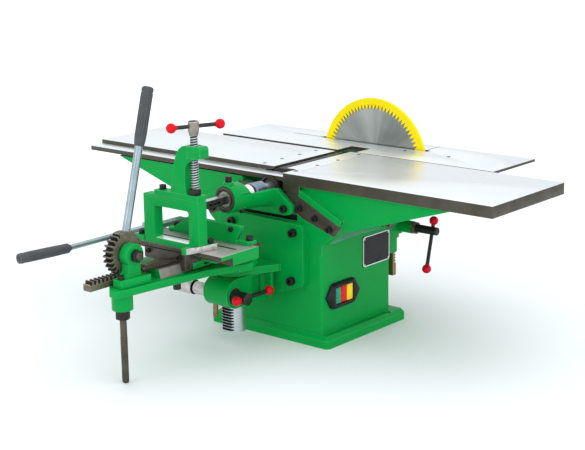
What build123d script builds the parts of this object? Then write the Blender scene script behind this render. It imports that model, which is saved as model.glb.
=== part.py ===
from build123d import *
import math
import os

os.makedirs("parts", exist_ok=True)

# Planer bed and spindle
SPINDLE_Z = 322.0
TABLE_Z = 360.0
TABLE_END = 554.0
TABLE_HALF_WIDTH = 130.0
INFEED_FAR_Y = 134.0
OUTFEED_FAR_Y = 122.0
SLAB_BOTTOM = 336.0
SLAB_INNER_X = 42.0
LIP_SEAT_Z = 352.0
STEP_Y = -88.0
LEDGE_Y = -123.0
CUTTER_RADIUS = 36.5
KNIFE_RADIUS = 38.0
CUTTER_Y = (-87.5, 112.5)
SHAFT_RADIUS = 12.5
BEARING_RADIUS = 21.0
BEARING_WIDTH = 12.0

# Base casting
BODY_HALF_X = 142.0
BODY_Y = (-127.0, 110.0)
WALL = 12.0
SHOULDER_Z = 216.0
ROOF_Z = 258.0
PLINTH_HALF_X = 165.0
PLINTH_Y = (-138.0, 139.0)
PLINTH_Z = 25.0
FOOT_HOLE_X = 152.5
FOOT_HOLE_Y = 90.0
FOOT_HOLE_RADIUS = 6.0
CHEEK = 26.0
SEAT_Z = 272.0
WAY_ANGLE = 25.0
WAY_START = (80.0, 316.0)
CHEEK_TOP = 328.0
WAY_LENGTH = 120.3

# Saw end
BLADE_Y = 243.0
BLADE_RADIUS = 137.0
BLADE_THICKNESS = 2.8
STRIP_RADIUS = 143.0
STRIP_TEETH = 80
STRIP_ROOT_RADIUS = 131.0
STRIP_TIP_RADIUS = 117.5
SAW_TABLE_X = (-375.0, 385.0)
SAW_TABLE_Y = (138.0, 305.0)
SAW_TABLE_BOTTOM = 354.0
POST_X = (112.0, 128.0)
POST_Y = (140.0, 152.0)
SAW_PINION_Y = 162.0
SAW_PINION_Z = 204.0
MOTOR_Z = 112.0
PULLEY_Y = (148.0, 188.0)
SPINDLE_PULLEY_RADIUS = 27.5
MOTOR_PULLEY_RADIUS = 42.0
BELT_CENTRES = (160.0, 176.0)

# Mortiser knee and slide
KNEE_FACE_Y = -142.0
COLUMN_X = -26.0
COLUMN_Y = -216.0
COLUMN_RADIUS = 25.0
LIFT_AXIS_Y = -252.0
LIFT_AXIS_Z = 116.0
HOUSING_X = (-54.0, 12.0)
HOUSING_CENTRE = (-247.0, 120.0)
HOUSING_RADIUS = 31.0
SHELF_Z = (152.0, 167.0)
BAR_END_Y = -186.0
BAR_Z = (185.0, 199.0)
LEG_Y = -532.0
FEED_AXIS_Y = -508.0
FEED_AXIS_Z = 255.0
FEED_MODULE = 3.3
FEED_TEETH = 24
FEED_FLANK = 12.0
LEVER_LEAN = 15.1
SADDLE_X = (-97.0, 17.0)
SADDLE_Y = (-400.0, -310.0)
SADDLE_STEP_Y = -354.0
CROSS_X = (-165.0, 120.0)
CROSS_Y = (-405.0, -297.0)
CROSS_Z = (239.0, 250.0)
PLATE_BOTTOM = 242.0
PIVOT = (-146.0, -341.0)
FULCRUM = (-146.0, -251.0)
CROSS_LEVER_Z = 259.0
ARCH_X = (-90.0, 62.0)
ARCH_Y = (-405.0, -381.0)
ARCH_TOP = 350.0
SILL_TOP = 263.0
CLAMP_X = 43.0
CLAMP_Y = -392.0
CLAMP_BAR_ANGLE = 66.7

# Fits
RUNNING = 0.05
THREAD_GAP = 0.3
HOLE_GAP = 0.1

UP = (Align.CENTER, Align.CENTER, Align.MIN)
DOWN = (Align.CENTER, Align.CENTER, Align.MAX)
CORNER = (Align.MIN, Align.MIN, Align.MIN)


def save(builder, name):
    """Label a finished piece and write its STEP file."""
    builder.part.label = name
    export_step(builder.part, f"parts/{name}.step")


def block(x_range, y_range, z_range, mode=Mode.ADD):
    """Box between the given limits."""
    with Locations((x_range[0], y_range[0], z_range[0])):
        Box(
            x_range[1] - x_range[0],
            y_range[1] - y_range[0],
            z_range[1] - z_range[0],
            align=CORNER,
            mode=mode,
        )


def prism(plane, points, depth, mode=Mode.ADD, corner=0.0):
    """Polygon drawn on a plane and extruded along its normal."""
    with BuildSketch(plane) as outline:
        Polygon(*points, align=None)
        if corner > 0.0:
            fillet(outline.vertices(), corner)
    extrude(outline.sketch, amount=depth, dir=plane.z_dir, mode=mode)


def side_prism(points, y_range, mode=Mode.ADD, corner=0.0):
    """Outline in X and Z, extruded between two Y limits."""
    prism(Plane.XZ.offset(-y_range[1]), points, y_range[1] - y_range[0], mode, corner)


def end_prism(points, x_range, mode=Mode.ADD, corner=0.0):
    """Outline in Y and Z, extruded between two X limits."""
    prism(Plane.YZ.offset(x_range[0]), points, x_range[1] - x_range[0], mode, corner)


def top_prism(points, z_range, mode=Mode.ADD, corner=0.0):
    """Outline in X and Y, extruded between two Z limits."""
    prism(Plane.XY.offset(z_range[0]), points, z_range[1] - z_range[0], mode, corner)


def rod(start, direction, length, radius, mode=Mode.ADD):
    """Cylinder from a start point along a direction."""
    with Locations(Plane(origin=start, z_dir=direction)):
        Cylinder(radius, length, align=UP, mode=mode)


def rod_x(x_range, y, z, radius, mode=Mode.ADD):
    """Cylinder along X."""
    rod((x_range[0], y, z), (1, 0, 0), x_range[1] - x_range[0], radius, mode)


def rod_y(y_range, x, z, radius, mode=Mode.ADD):
    """Cylinder along Y."""
    rod((x, y_range[0], z), (0, 1, 0), y_range[1] - y_range[0], radius, mode)


def rod_z(z_range, x, y, radius, mode=Mode.ADD):
    """Cylinder along Z."""
    rod((x, y, z_range[0]), (0, 0, 1), z_range[1] - z_range[0], radius, mode)


def hexagon(seat, across_flats, height, mode=Mode.ADD):
    """Hexagonal prism standing on a seat plane."""
    with BuildSketch(seat) as outline:
        RegularPolygon(across_flats / math.sqrt(3.0), 6)
    extrude(outline.sketch, amount=height, dir=seat.z_dir, mode=mode)


def ball(centre, radius):
    """Ball knob."""
    with Locations(centre):
        Sphere(radius)


def bolt_heads(seats, head_radius, head_height):
    """Socket heads, one on each seat plane."""
    with Locations(*seats):
        Cylinder(head_radius, head_height, align=UP)
    for seat in seats:
        top = seat.offset(head_height * 0.45)
        hexagon(top, head_radius * 0.95, head_height, Mode.SUBTRACT)


def socket_bolts(seats, head_radius, head_height, shank_radius, shank_length):
    """Socket-head bolts, one on each seat plane, shank going into the work."""
    bolt_heads(seats, head_radius, head_height)
    with Locations(*seats):
        Cylinder(shank_radius, shank_length, align=DOWN)


def drill(seats, radius, depth):
    """Clear holes below a list of seat planes."""
    with Locations(*seats):
        Cylinder(radius + HOLE_GAP, depth + HOLE_GAP, align=DOWN, mode=Mode.SUBTRACT)


def along_way(s, n):
    """Point on the infeed way: s down the slope, n square to it."""
    angle = math.radians(WAY_ANGLE)
    x = WAY_START[0] + s * math.cos(angle) + n * math.sin(angle)
    z = WAY_START[1] - s * math.sin(angle) + n * math.cos(angle)
    return (x, z)


def mirrored(points):
    """Outline mirrored in X."""
    return [(-x, z) for x, z in reversed(points)]


def gear_points(centre, module, teeth, half_tooth, phase, plain=(0.0, 0.0), flank=20.0):
    """Straight-flanked gear outline; between the plain angles the rim is left uncut."""
    pitch = module * teeth / 2.0
    root = pitch - 1.25 * module
    tip = pitch + module
    slope = math.tan(math.radians(flank))
    half_root = (half_tooth + 1.25 * module * slope) / root
    half_tip = (half_tooth - module * slope) / tip
    points = []
    for index in range(teeth):
        angle = math.radians(phase) + 2.0 * math.pi * index / teeth
        uncut = plain[0] < math.degrees(angle) % 360.0 < plain[1]
        for radius, turn in ((root, -half_root), (tip, -half_tip), (tip, half_tip), (root, half_root)):
            reach = tip if uncut else radius
            across = reach * math.cos(angle + turn)
            along = reach * math.sin(angle + turn)
            points.append((centre[0] + across, centre[1] + along))
    return points


def rack_gap(centre, pitch_line, depth_sign, module, half_tooth, flank=20.0):
    """Trapezoid gap between two rack teeth, returned as (across, along) pairs."""
    slope = math.tan(math.radians(flank))
    half_gap = math.pi * module / 2.0 - half_tooth
    outer = half_gap + 2.0 * module * slope
    inner = half_gap - 1.25 * module * slope
    top = pitch_line - depth_sign * 2.0 * module
    floor = pitch_line + depth_sign * 1.25 * module
    return [(top, centre - outer), (floor, centre - inner), (floor, centre + inner), (top, centre + outer)]


# Bolt seats
NEAR = (0, -1, 0)
FAR = (0, 1, 0)
KEEPER_HOLES = [(85.0, 290.0), (125.0, 274.0), (163.0, 256.0)]
KEEPER_SEATS = []
for hole_x, hole_z in KEEPER_HOLES:
    for sign in (1, -1):
        KEEPER_SEATS.append(Plane(origin=(sign * hole_x, BODY_Y[0], hole_z), z_dir=NEAR))
        KEEPER_SEATS.append(Plane(origin=(sign * hole_x, BODY_Y[1], hole_z), z_dir=FAR))
KNEE_HOLES = [(-91.0, 241.0), (80.0, 240.0), (74.0, 135.0)]
KNEE_SEATS = [Plane(origin=(x, KNEE_FACE_Y, z), z_dir=NEAR) for x, z in KNEE_HOLES]
HOLDER_FACE_Y = -139.0
HOLDER_SEATS = [Plane(origin=(x, HOLDER_FACE_Y, 287.0), z_dir=NEAR) for x in (-53.0, 53.0)]
HOUSING_Y = ((-125.5, -103.0), (119.0, 141.0))
HOUSING_FOOT_Z = 292.0
HOUSING_SEATS = []
for near_y, far_y in HOUSING_Y:
    for bolt_x in (-35.0, 35.0):
        HOUSING_SEATS.append(Plane(origin=(bolt_x, (near_y + far_y) / 2.0, HOUSING_FOOT_Z)))
GUIDE_FLANGE_Y = 120.0
GUIDE_SEATS = []
for sign in (1, -1):
    for bolt_z in (190.0, 224.0):
        GUIDE_SEATS.append(Plane(origin=(sign * 88.5, GUIDE_FLANGE_Y, bolt_z), z_dir=FAR))
GUARD_TAB_Y = 112.0
GUARD_SEATS = []
for sign in (1, -1):
    for bolt_z in (80.0, 150.0):
        GUARD_SEATS.append(Plane(origin=(sign * 68.0, GUARD_TAB_Y, bolt_z), z_dir=FAR))
KEEPER_OUTLINE = [
    (48.0, CHEEK_TOP),
    (79.0, CHEEK_TOP),
    (79.0, WAY_START[1] + 1.0),
    along_way(0.0, 0.0),
    along_way(WAY_LENGTH, 0.0),
    (172.0, 242.0),
    (94.0, 268.0),
    (80.0, 276.0),
    (48.0, 276.0),
]
CHEEK_OUTLINE = [
    (44.0, SEAT_Z),
    (44.0, CHEEK_TOP),
    (79.0, CHEEK_TOP),
    (79.0, WAY_START[1] + 1.0),
    along_way(0.0, 0.0),
    along_way(WAY_LENGTH, 0.0),
    (172.0, 242.0),
    (BODY_HALF_X, SHOULDER_Z),
    (BODY_HALF_X, 196.0),
]
CHEEK_OUTLINE += mirrored(CHEEK_OUTLINE)
SCREW_POINT = (206.0, 262.0)
SCREW_DIR = (math.cos(math.radians(WAY_ANGLE)), 0.0, -math.sin(math.radians(WAY_ANGLE)))


def screw_rod(s_range, radius, mode=Mode.ADD):
    """Cylinder on the infeed adjusting axis."""
    start = (SCREW_POINT[0] + s_range[0] * SCREW_DIR[0], 0.0, SCREW_POINT[1] + s_range[0] * SCREW_DIR[2])
    rod(start, SCREW_DIR, s_range[1] - s_range[0], radius, mode)


# Base casting
with BuildPart() as base_casting:
    with BuildSketch(Plane.XY):
        with Locations((0, (PLINTH_Y[0] + PLINTH_Y[1]) / 2.0)):
            RectangleRounded(2 * PLINTH_HALF_X, PLINTH_Y[1] - PLINTH_Y[0], 9)
    extrude(amount=PLINTH_Z)
    chamfer(base_casting.faces().sort_by(Axis.Z)[-1].edges(), 8.0)
    with BuildSketch(Plane.XY):
        with Locations((0, (BODY_Y[0] + BODY_Y[1]) / 2.0)):
            RectangleRounded(2 * BODY_HALF_X, BODY_Y[1] - BODY_Y[0], 7)
    extrude(amount=SHOULDER_Z)
    side_prism(
        [(-BODY_HALF_X, SHOULDER_Z), (-60, ROOF_Z), (60, ROOF_Z), (BODY_HALF_X, SHOULDER_Z)], BODY_Y
    )
    side_prism(CHEEK_OUTLINE, (BODY_Y[0], BODY_Y[0] + CHEEK))
    side_prism(CHEEK_OUTLINE, (BODY_Y[1] - CHEEK, BODY_Y[1]))
    end_prism([(98, 200), (110, 200), (142, 240), (142, SEAT_Z), (98, SEAT_Z)], (-44, 44))
    block((106, 120), (-14, 14), (215, 320))
    inner_x = BODY_HALF_X - WALL
    inner_y = (BODY_Y[0] + WALL, BODY_Y[1] - WALL)
    side_prism(
        [(-inner_x, -1), (-inner_x, 205), (-56, 246), (56, 246), (inner_x, 205), (inner_x, -1)],
        inner_y,
        Mode.SUBTRACT,
    )
    for outline in (KEEPER_OUTLINE, mirrored(KEEPER_OUTLINE)):
        side_prism(outline, (BODY_Y[0] - 1, BODY_Y[0] + 8), Mode.SUBTRACT)
        side_prism(outline, (BODY_Y[1] - 8, BODY_Y[1] + 1), Mode.SUBTRACT)
    block((-76, 78), (BODY_Y[0] - 1, BODY_Y[0] + 1.4), (262, SEAT_Z), Mode.SUBTRACT)
    block((-46, 46), (BODY_Y[0] - 1, BODY_Y[0] + 8), (262, 267), Mode.SUBTRACT)
    for recess_x in ((-76, -45), (45, 78)):
        block(recess_x, (BODY_Y[0] - 1, BODY_Y[0] + 8), (262, 275), Mode.SUBTRACT)
    block((BODY_HALF_X - 20, BODY_HALF_X + 1), (-99.5, -22.5), (79.5, 124.5), Mode.SUBTRACT)
    block((-BODY_HALF_X - 1, -BODY_HALF_X + 20), (-70, 50), (90, 180), Mode.SUBTRACT)
    rod_y((80, 120), 0, MOTOR_Z, 30, Mode.SUBTRACT)
    rod_x((-BODY_HALF_X - 1, -BODY_HALF_X + 20), 60, 60, 8.0 + HOLE_GAP, Mode.SUBTRACT)
    screw_rod((-160, -60), 7.0 + THREAD_GAP, Mode.SUBTRACT)
    for hole_x in (-FOOT_HOLE_X, FOOT_HOLE_X):
        rod_z((-1, PLINTH_Z + 5), hole_x, FOOT_HOLE_Y, FOOT_HOLE_RADIUS, Mode.SUBTRACT)
        rod_z((-1, 16), hole_x, -FOOT_HOLE_Y, FOOT_HOLE_RADIUS, Mode.SUBTRACT)
    drill(KEEPER_SEATS, 4, 16)
    drill(KNEE_SEATS, 6, 25)
    drill(HOLDER_SEATS, 5, 26)
    drill(HOUSING_SEATS, 5, 32)
    drill(GUIDE_SEATS, 4, 18)
    drill(GUARD_SEATS, 3, 10)
save(base_casting, "base_casting")

with BuildPart() as keeper_plates:
    for outline in (KEEPER_OUTLINE, mirrored(KEEPER_OUTLINE)):
        side_prism(outline, (BODY_Y[0], BODY_Y[0] + 8))
        side_prism(outline, (BODY_Y[1] - 8, BODY_Y[1]))
    drill(KEEPER_SEATS, 4, 16)
    drill(HOLDER_SEATS, 5, 26)
save(keeper_plates, "keeper_plates")

with BuildPart() as bearing_housings:
    for limits in HOUSING_Y:
        block((-43.5, 43.5), limits, (SEAT_Z, HOUSING_FOOT_Z))
        block((-25.5, 25.5), limits, (HOUSING_FOOT_Z, SPINDLE_Z))
        rod_y(limits, 0, SPINDLE_Z, 25.5)
        rod_y((limits[0] - 1, limits[1] + 1), 0, SPINDLE_Z, BEARING_RADIUS, Mode.SUBTRACT)
    drill(HOUSING_SEATS, 5, 32)
save(bearing_housings, "bearing_housings")

with BuildPart() as spindle_bearings:
    for centre_y in (-114.5, 130.0):
        limits = (centre_y - BEARING_WIDTH / 2.0, centre_y + BEARING_WIDTH / 2.0)
        rod_y(limits, 0, SPINDLE_Z, BEARING_RADIUS)
        rod_y((limits[0] - 1, limits[1] + 1), 0, SPINDLE_Z, SHAFT_RADIUS + 0.03, Mode.SUBTRACT)
save(spindle_bearings, "spindle_bearings")

# Planer tables
WEB_OUTLINE = [
    (80.0, SLAB_BOTTOM + 1.0),
    along_way(0.0, 0.15),
    along_way(WAY_LENGTH + 1.2, 0.5),
    (192.0, 251.0),
    (312.0, 290.0),
    (448.0, 332.0),
    (462.0, SLAB_BOTTOM + 1.0),
]
RAIL_OUTLINE = [
    along_way(0.0, 0.1),
    along_way(WAY_LENGTH, 0.1),
    along_way(WAY_LENGTH, 14.0),
    along_way(0.0, 14.0),
]
RIBS = (((202.5, 209.5), 272.0), ((330.0, 338.0), 297.0))
OUTFEED_SCREWS_Y = (-73.0, -16.0, 44.0, 101.0)
INFEED_SCREWS_Y = (-27.0, 44.0, 118.0)


def under_frame(sign):
    """Webs, rails and cross ribs below a table slab."""
    web = WEB_OUTLINE if sign > 0 else mirrored(WEB_OUTLINE)
    rail = RAIL_OUTLINE if sign > 0 else mirrored(RAIL_OUTLINE)
    side_prism(web, (-120, -110))
    side_prism(web, (110, 120))
    side_prism(rail, (-127.5, -103))
    side_prism(rail, (103, 127.5))
    for limits, low in RIBS:
        x_range = limits if sign > 0 else (-limits[1], -limits[0])
        block(x_range, (-111, 111), (low, SLAB_BOTTOM + 1.0))


with BuildPart() as infeed_table:
    block((SLAB_INNER_X, TABLE_END), (-TABLE_HALF_WIDTH, INFEED_FAR_Y), (SLAB_BOTTOM, TABLE_Z))
    block((SLAB_INNER_X - 1, 62), (STEP_Y + 2, INFEED_FAR_Y + 1), (LIP_SEAT_Z, TABLE_Z + 1), Mode.SUBTRACT)
    rod_z((TABLE_Z - 0.4, TABLE_Z + 1), 51, -98, 4.3, Mode.SUBTRACT)
    under_frame(1)
    block((SLAB_INNER_X, 86), (-TABLE_HALF_WIDTH, BODY_Y[0] - 0.2), (322, SLAB_BOTTOM + 1))
    screw_rod((-10, 10), 14)
    screw_rod((-20, 20), 7 + RUNNING, Mode.SUBTRACT)
save(infeed_table, "infeed_table")

with BuildPart() as infeed_lip_plate:
    side_prism(
        [(62, LIP_SEAT_Z), (62, TABLE_Z), (16, TABLE_Z), (16, 357.4), (28, LIP_SEAT_Z)],
        (STEP_Y + 2, INFEED_FAR_Y),
    )
    for screw_y in INFEED_SCREWS_Y:
        rod_z((TABLE_Z - 2.6, TABLE_Z + 1), 51, screw_y, 4.6, Mode.SUBTRACT)
    for screw_y in INFEED_SCREWS_Y:
        rod_z((TABLE_Z - 2.5, TABLE_Z - 0.4), 51, screw_y, 4.3)
save(infeed_lip_plate, "infeed_lip_plate")

with BuildPart() as infeed_screw:
    screw_rod((-130, 18), 7)
    screw_rod((-16, -10.1), 11)
    screw_rod((10.1, 16), 11)
    screw_end = Plane(
        origin=(SCREW_POINT[0] + 16 * SCREW_DIR[0], 0, SCREW_POINT[1] + 16 * SCREW_DIR[2]), z_dir=SCREW_DIR
    )
    hexagon(screw_end, 19, 9)
save(infeed_screw, "infeed_screw")

with BuildPart() as outfeed_table:
    block((-TABLE_END, -SLAB_INNER_X), (STEP_Y, OUTFEED_FAR_Y), (SLAB_BOTTOM, TABLE_Z))
    block((-TABLE_END, 40), (LEDGE_Y, STEP_Y), (340, 350))
    block((-62, -SLAB_INNER_X + 1), (STEP_Y - 1, 125), (LIP_SEAT_Z, TABLE_Z + 1), Mode.SUBTRACT)
    under_frame(-1)
    rod_y((-128, -100), 0, SPINDLE_Z, 26.5, Mode.SUBTRACT)
save(outfeed_table, "outfeed_table")

with BuildPart() as outfeed_lip_plate:
    side_prism(
        [(-62, LIP_SEAT_Z), (-62, TABLE_Z), (-18, TABLE_Z), (-18, 356.4), (-28, LIP_SEAT_Z)],
        (STEP_Y, OUTFEED_FAR_Y),
    )
    for screw_y in OUTFEED_SCREWS_Y:
        rod_z((TABLE_Z - 2.6, TABLE_Z + 1), -57, screw_y, 4.6, Mode.SUBTRACT)
    for screw_y in OUTFEED_SCREWS_Y:
        rod_z((TABLE_Z - 2.5, TABLE_Z - 0.4), -57, screw_y, 4.3)
save(outfeed_lip_plate, "outfeed_lip_plate")

# Spindle and cutter
CHUCK_Y = (-212.0, -150.0)
with BuildPart() as spindle_shaft:
    rod_y((CHUCK_Y[1], 276), 0, SPINDLE_Z, SHAFT_RADIUS)
    rod_y((-101, CUTTER_Y[0]), 0, SPINDLE_Z, 15)
    rod_y((CUTTER_Y[1], 117), 0, SPINDLE_Z, 15)
save(spindle_shaft, "spindle_shaft")

KNIFE_PLANES = []
for knife in range(3):
    knife_angle = math.radians(60 + 120 * knife)
    KNIFE_PLANES.append(
        Plane(
            origin=(0, CUTTER_Y[0], SPINDLE_Z),
            x_dir=(0, 1, 0),
            z_dir=(math.cos(knife_angle), 0, math.sin(knife_angle)),
        )
    )
CUTTER_LENGTH = CUTTER_Y[1] - CUTTER_Y[0]


def knife_bars(across, radial, mode=Mode.ADD):
    """Bars along the cutter block, one on each knife plane."""
    for plane in KNIFE_PLANES:
        seat = plane.offset(radial[0])
        with Locations(seat * Location((0, across[0], 0))):
            Box(CUTTER_LENGTH, across[1] - across[0], radial[1] - radial[0], align=CORNER, mode=mode)


with BuildPart() as cutter_block:
    rod_y(CUTTER_Y, 0, SPINDLE_Z, CUTTER_RADIUS)
    rod_y((CUTTER_Y[0] - 1, CUTTER_Y[1] + 1), 0, SPINDLE_Z, SHAFT_RADIUS, Mode.SUBTRACT)
    knife_bars((-6, 6), (19, 45), Mode.SUBTRACT)
save(cutter_block, "cutter_block")

with BuildPart() as planer_knives:
    knife_bars((-6, -3.05), (19, KNIFE_RADIUS - 0.2))
    knife_bars((-3, 6), (19, 33.5))
save(planer_knives, "planer_knives")

with BuildPart() as drill_chuck:
    rod_y((-185, CHUCK_Y[1]), 0, SPINDLE_Z, 20)
    rod_y((-190, -185), 0, SPINDLE_Z, 17)
    rod_y((CHUCK_Y[0], -190), 0, SPINDLE_Z, 18.5)
    rod_y((CHUCK_Y[0] - 1, -160), 0, SPINDLE_Z, 6.0, Mode.SUBTRACT)
save(drill_chuck, "drill_chuck")

with BuildPart() as auger_bit:
    rod_y((-343, -160), 0, SPINDLE_Z, 6.0)
    with Locations(Plane(origin=(0, -343, SPINDLE_Z), z_dir=(0, -1, 0))):
        Cone(5.0, 0.6, 7, align=UP)
    block((2.2, 7), (-347, -270), (SPINDLE_Z - 7, SPINDLE_Z), Mode.SUBTRACT)
    block((-7, -2.2), (-347, -270), (SPINDLE_Z, SPINDLE_Z + 7), Mode.SUBTRACT)
save(auger_bit, "auger_bit")

# Chisel holder
PINCH_DIR = (math.sin(math.radians(33.4)), 0.0, -math.cos(math.radians(33.4)))
PINCH_REACH = 30.5
NOSE_RADIUS = 29.5
BUSH_RADIUS = 25.5
with BuildPart() as chisel_holder:
    rod_y((-263, -213), 0, SPINDLE_Z, NOSE_RADIUS)
    with Locations(Plane(origin=(0, -215, SPINDLE_Z), z_dir=(0, 1, 0))):
        Cone(NOSE_RADIUS, 36, 78, align=UP)
    side_prism(
        [(-34, 326), (34, 326), (72, 294), (71, 277), (54, 272), (-54, 272), (-71, 277), (-72, 294)],
        (HOLDER_FACE_Y, BODY_Y[0]),
        corner=7,
    )
    with Locations(Plane(origin=(0, -251, SPINDLE_Z), z_dir=(0, 0, 1))):
        Cylinder(11, 34.5, align=UP)
    rod((0, -230, SPINDLE_Z), PINCH_DIR, PINCH_REACH, 9)
    end_prism(
        [(-223, 356), (-213, 329), (-126, 328), (-126, 372), (-223, 372)],
        (-50, 50),
        Mode.SUBTRACT,
    )
    rod_y((-216, -120), 0, SPINDLE_Z, 24, Mode.SUBTRACT)
    rod_y((-264, -214), 0, SPINDLE_Z, BUSH_RADIUS, Mode.SUBTRACT)
    rod((0, -251, SPINDLE_Z), (0, 0, 1), 40, 5 + HOLE_GAP, Mode.SUBTRACT)
    rod((0, -230, SPINDLE_Z), PINCH_DIR, 40, 4 + HOLE_GAP, Mode.SUBTRACT)
    drill(HOLDER_SEATS, 5, 26)
save(chisel_holder, "chisel_holder")

with BuildPart() as chisel_bush:
    rod_y((-265, -219), 0, SPINDLE_Z, BUSH_RADIUS)
    rod_y((-266, -218), 0, SPINDLE_Z, 9.5, Mode.SUBTRACT)
    rod_y((-266, -261), 0, SPINDLE_Z, 19, Mode.SUBTRACT)
    rod_y((-264, -260), 0, SPINDLE_Z, 17)
    rod_y((-266, -218), 0, SPINDLE_Z, 9.5, Mode.SUBTRACT)
save(chisel_bush, "chisel_bush")

with BuildPart() as mortise_chisel:
    block((-8, 8), (-341, -265), (SPINDLE_Z - 8, SPINDLE_Z + 8))
    rod_y((-265, -219), 0, SPINDLE_Z, 9.5)
    rod_y((-342, -218), 0, SPINDLE_Z, 6.4, Mode.SUBTRACT)
    block((0, 9), (-318, -284), (SPINDLE_Z - 4, SPINDLE_Z + 4), Mode.SUBTRACT)
save(mortise_chisel, "mortise_chisel")

# Saw blade and drive
with BuildPart() as saw_blade:
    blade_points = []
    for tooth in range(48):
        tooth_angle = 2 * math.pi * tooth / 48
        for radius, shift in ((BLADE_RADIUS - 7, 0.0), (BLADE_RADIUS, 0.1), (BLADE_RADIUS - 2, 0.5)):
            turn = tooth_angle + 2 * math.pi * shift / 48
            blade_points.append((radius * math.cos(turn), SPINDLE_Z + radius * math.sin(turn)))
    side_prism(blade_points, (BLADE_Y - BLADE_THICKNESS / 2, BLADE_Y + BLADE_THICKNESS / 2))
    rod_y((BLADE_Y - 5, BLADE_Y + 5), 0, SPINDLE_Z, SHAFT_RADIUS, Mode.SUBTRACT)
save(saw_blade, "saw_blade")

with BuildPart() as tooth_guard:
    rod_y((BLADE_Y - 4, BLADE_Y + 4), 0, SPINDLE_Z, STRIP_RADIUS)
    inner_points = []
    for step in range(2 * STRIP_TEETH):
        turn = math.pi * step / STRIP_TEETH
        radius = STRIP_ROOT_RADIUS if step % 2 else STRIP_TIP_RADIUS
        inner_points.append((radius * math.cos(turn), SPINDLE_Z + radius * math.sin(turn)))
    side_prism(inner_points, (BLADE_Y - 9, BLADE_Y + 9), Mode.SUBTRACT)
    rod_y((BLADE_Y - 1.6, BLADE_Y + 1.6), 0, SPINDLE_Z, BLADE_RADIUS + 0.5, Mode.SUBTRACT)
save(tooth_guard, "tooth_guard")

with BuildPart() as blade_clamp:
    for limits in ((232.0, BLADE_Y - BLADE_THICKNESS / 2), (BLADE_Y + BLADE_THICKNESS / 2, 252.0)):
        rod_y(limits, 0, SPINDLE_Z, 30)
        rod_y((limits[0] - 1, limits[1] + 1), 0, SPINDLE_Z, SHAFT_RADIUS, Mode.SUBTRACT)
    hexagon(Plane(origin=(0, 252.5, SPINDLE_Z), z_dir=FAR), 36, 14)
    rod_y((252, 268), 0, SPINDLE_Z, SHAFT_RADIUS, Mode.SUBTRACT)
save(blade_clamp, "blade_clamp")


def pulley(z, rim, shaft):
    """Two-groove pulley on a shaft along Y."""
    rod_y(PULLEY_Y, 0, z, rim)
    for centre_y in BELT_CENTRES:
        with BuildSketch(Plane.YZ) as groove:
            Polygon(
                (centre_y - 6.2, z + rim + 1),
                (centre_y - 4.0, z + rim - 9),
                (centre_y + 4.0, z + rim - 9),
                (centre_y + 6.2, z + rim + 1),
                align=None,
            )
        revolve(groove.sketch, axis=Axis((0, 0, z), (0, 1, 0)), mode=Mode.SUBTRACT)
    rod_y((PULLEY_Y[0] - 1, PULLEY_Y[1] + 1), 0, z, shaft, Mode.SUBTRACT)


with BuildPart() as spindle_pulley:
    pulley(SPINDLE_Z, SPINDLE_PULLEY_RADIUS, SHAFT_RADIUS)
save(spindle_pulley, "spindle_pulley")

with BuildPart() as motor_pulley:
    pulley(MOTOR_Z, MOTOR_PULLEY_RADIUS, 12.0)
save(motor_pulley, "motor_pulley")


def belt_loop(limits, inset, mode):
    """Closed loop round both pulleys, a set distance inside their rims."""
    plane = Plane.XZ.offset(-limits[1])
    with BuildSketch(plane) as loop:
        with Locations((0, SPINDLE_Z)):
            Circle(SPINDLE_PULLEY_RADIUS - inset)
        with Locations((0, MOTOR_Z)):
            Circle(MOTOR_PULLEY_RADIUS - inset)
        make_hull()
    extrude(loop.sketch, amount=limits[1] - limits[0], dir=plane.z_dir, mode=mode)


with BuildPart() as drive_belts:
    for belt_y in BELT_CENTRES:
        belt_loop((belt_y - 4.0, belt_y + 4.0), 0.0, Mode.ADD)
        belt_loop((belt_y - 5.0, belt_y + 5.0), 6.0, Mode.SUBTRACT)
save(drive_belts, "drive_belts")

with BuildPart() as motor_body:
    rod_y((-92, 86), 0, MOTOR_Z, 62)
    rod_y((86, 98), 0, MOTOR_Z, 74)
    block((-28, 28), (-40, 40), (MOTOR_Z + 50, MOTOR_Z + 84))
    rod_y((40, 100), 0, MOTOR_Z, 12 + RUNNING, Mode.SUBTRACT)
save(motor_body, "motor_body")

with BuildPart() as motor_shaft:
    rod_y((42, 192), 0, MOTOR_Z, 12)
save(motor_shaft, "motor_shaft")

with BuildPart() as belt_guard:
    block((-60, 60), (BODY_Y[1], 204), (56, 214))
    block((-60, 60), (202, 204), (56, 340))
    block((-58, 58), (BODY_Y[1] - 1, 202), (58, 215), Mode.SUBTRACT)
    block((-16, 16), (200, 206), (304, 341), Mode.SUBTRACT)
    for sign in (1, -1):
        for tab_z in (80.0, 150.0):
            block(sorted((sign * 59, sign * 76)), (BODY_Y[1], GUARD_TAB_Y), (tab_z - 9, tab_z + 9))
    drill(GUARD_SEATS, 3, 10)
save(belt_guard, "belt_guard")

# Saw table and its lift
with BuildPart() as saw_table:
    block(SAW_TABLE_X, SAW_TABLE_Y, (SAW_TABLE_BOTTOM, TABLE_Z))
    for sign in (1, -1):
        block(sorted((sign * 104, sign * 148)), (138, 225), (346, SAW_TABLE_BOTTOM))
    block((-152, 152), (BLADE_Y - 7, BLADE_Y + 7), (340, 361), Mode.SUBTRACT)
    block((-240, -150), (BLADE_Y - 1.5, BLADE_Y + 1.5), (340, 361), Mode.SUBTRACT)
    block((139, 141), (BLADE_Y + 6, SAW_TABLE_Y[1] + 1), (340, 361), Mode.SUBTRACT)
    block((-24, 28), (137, 190), (340, 361), Mode.SUBTRACT)
    for pit_x in (105, 222):
        rod_z((TABLE_Z - 0.4, TABLE_Z + 1), pit_x, 216, 4.3, Mode.SUBTRACT)
save(saw_table, "saw_table")

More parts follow.
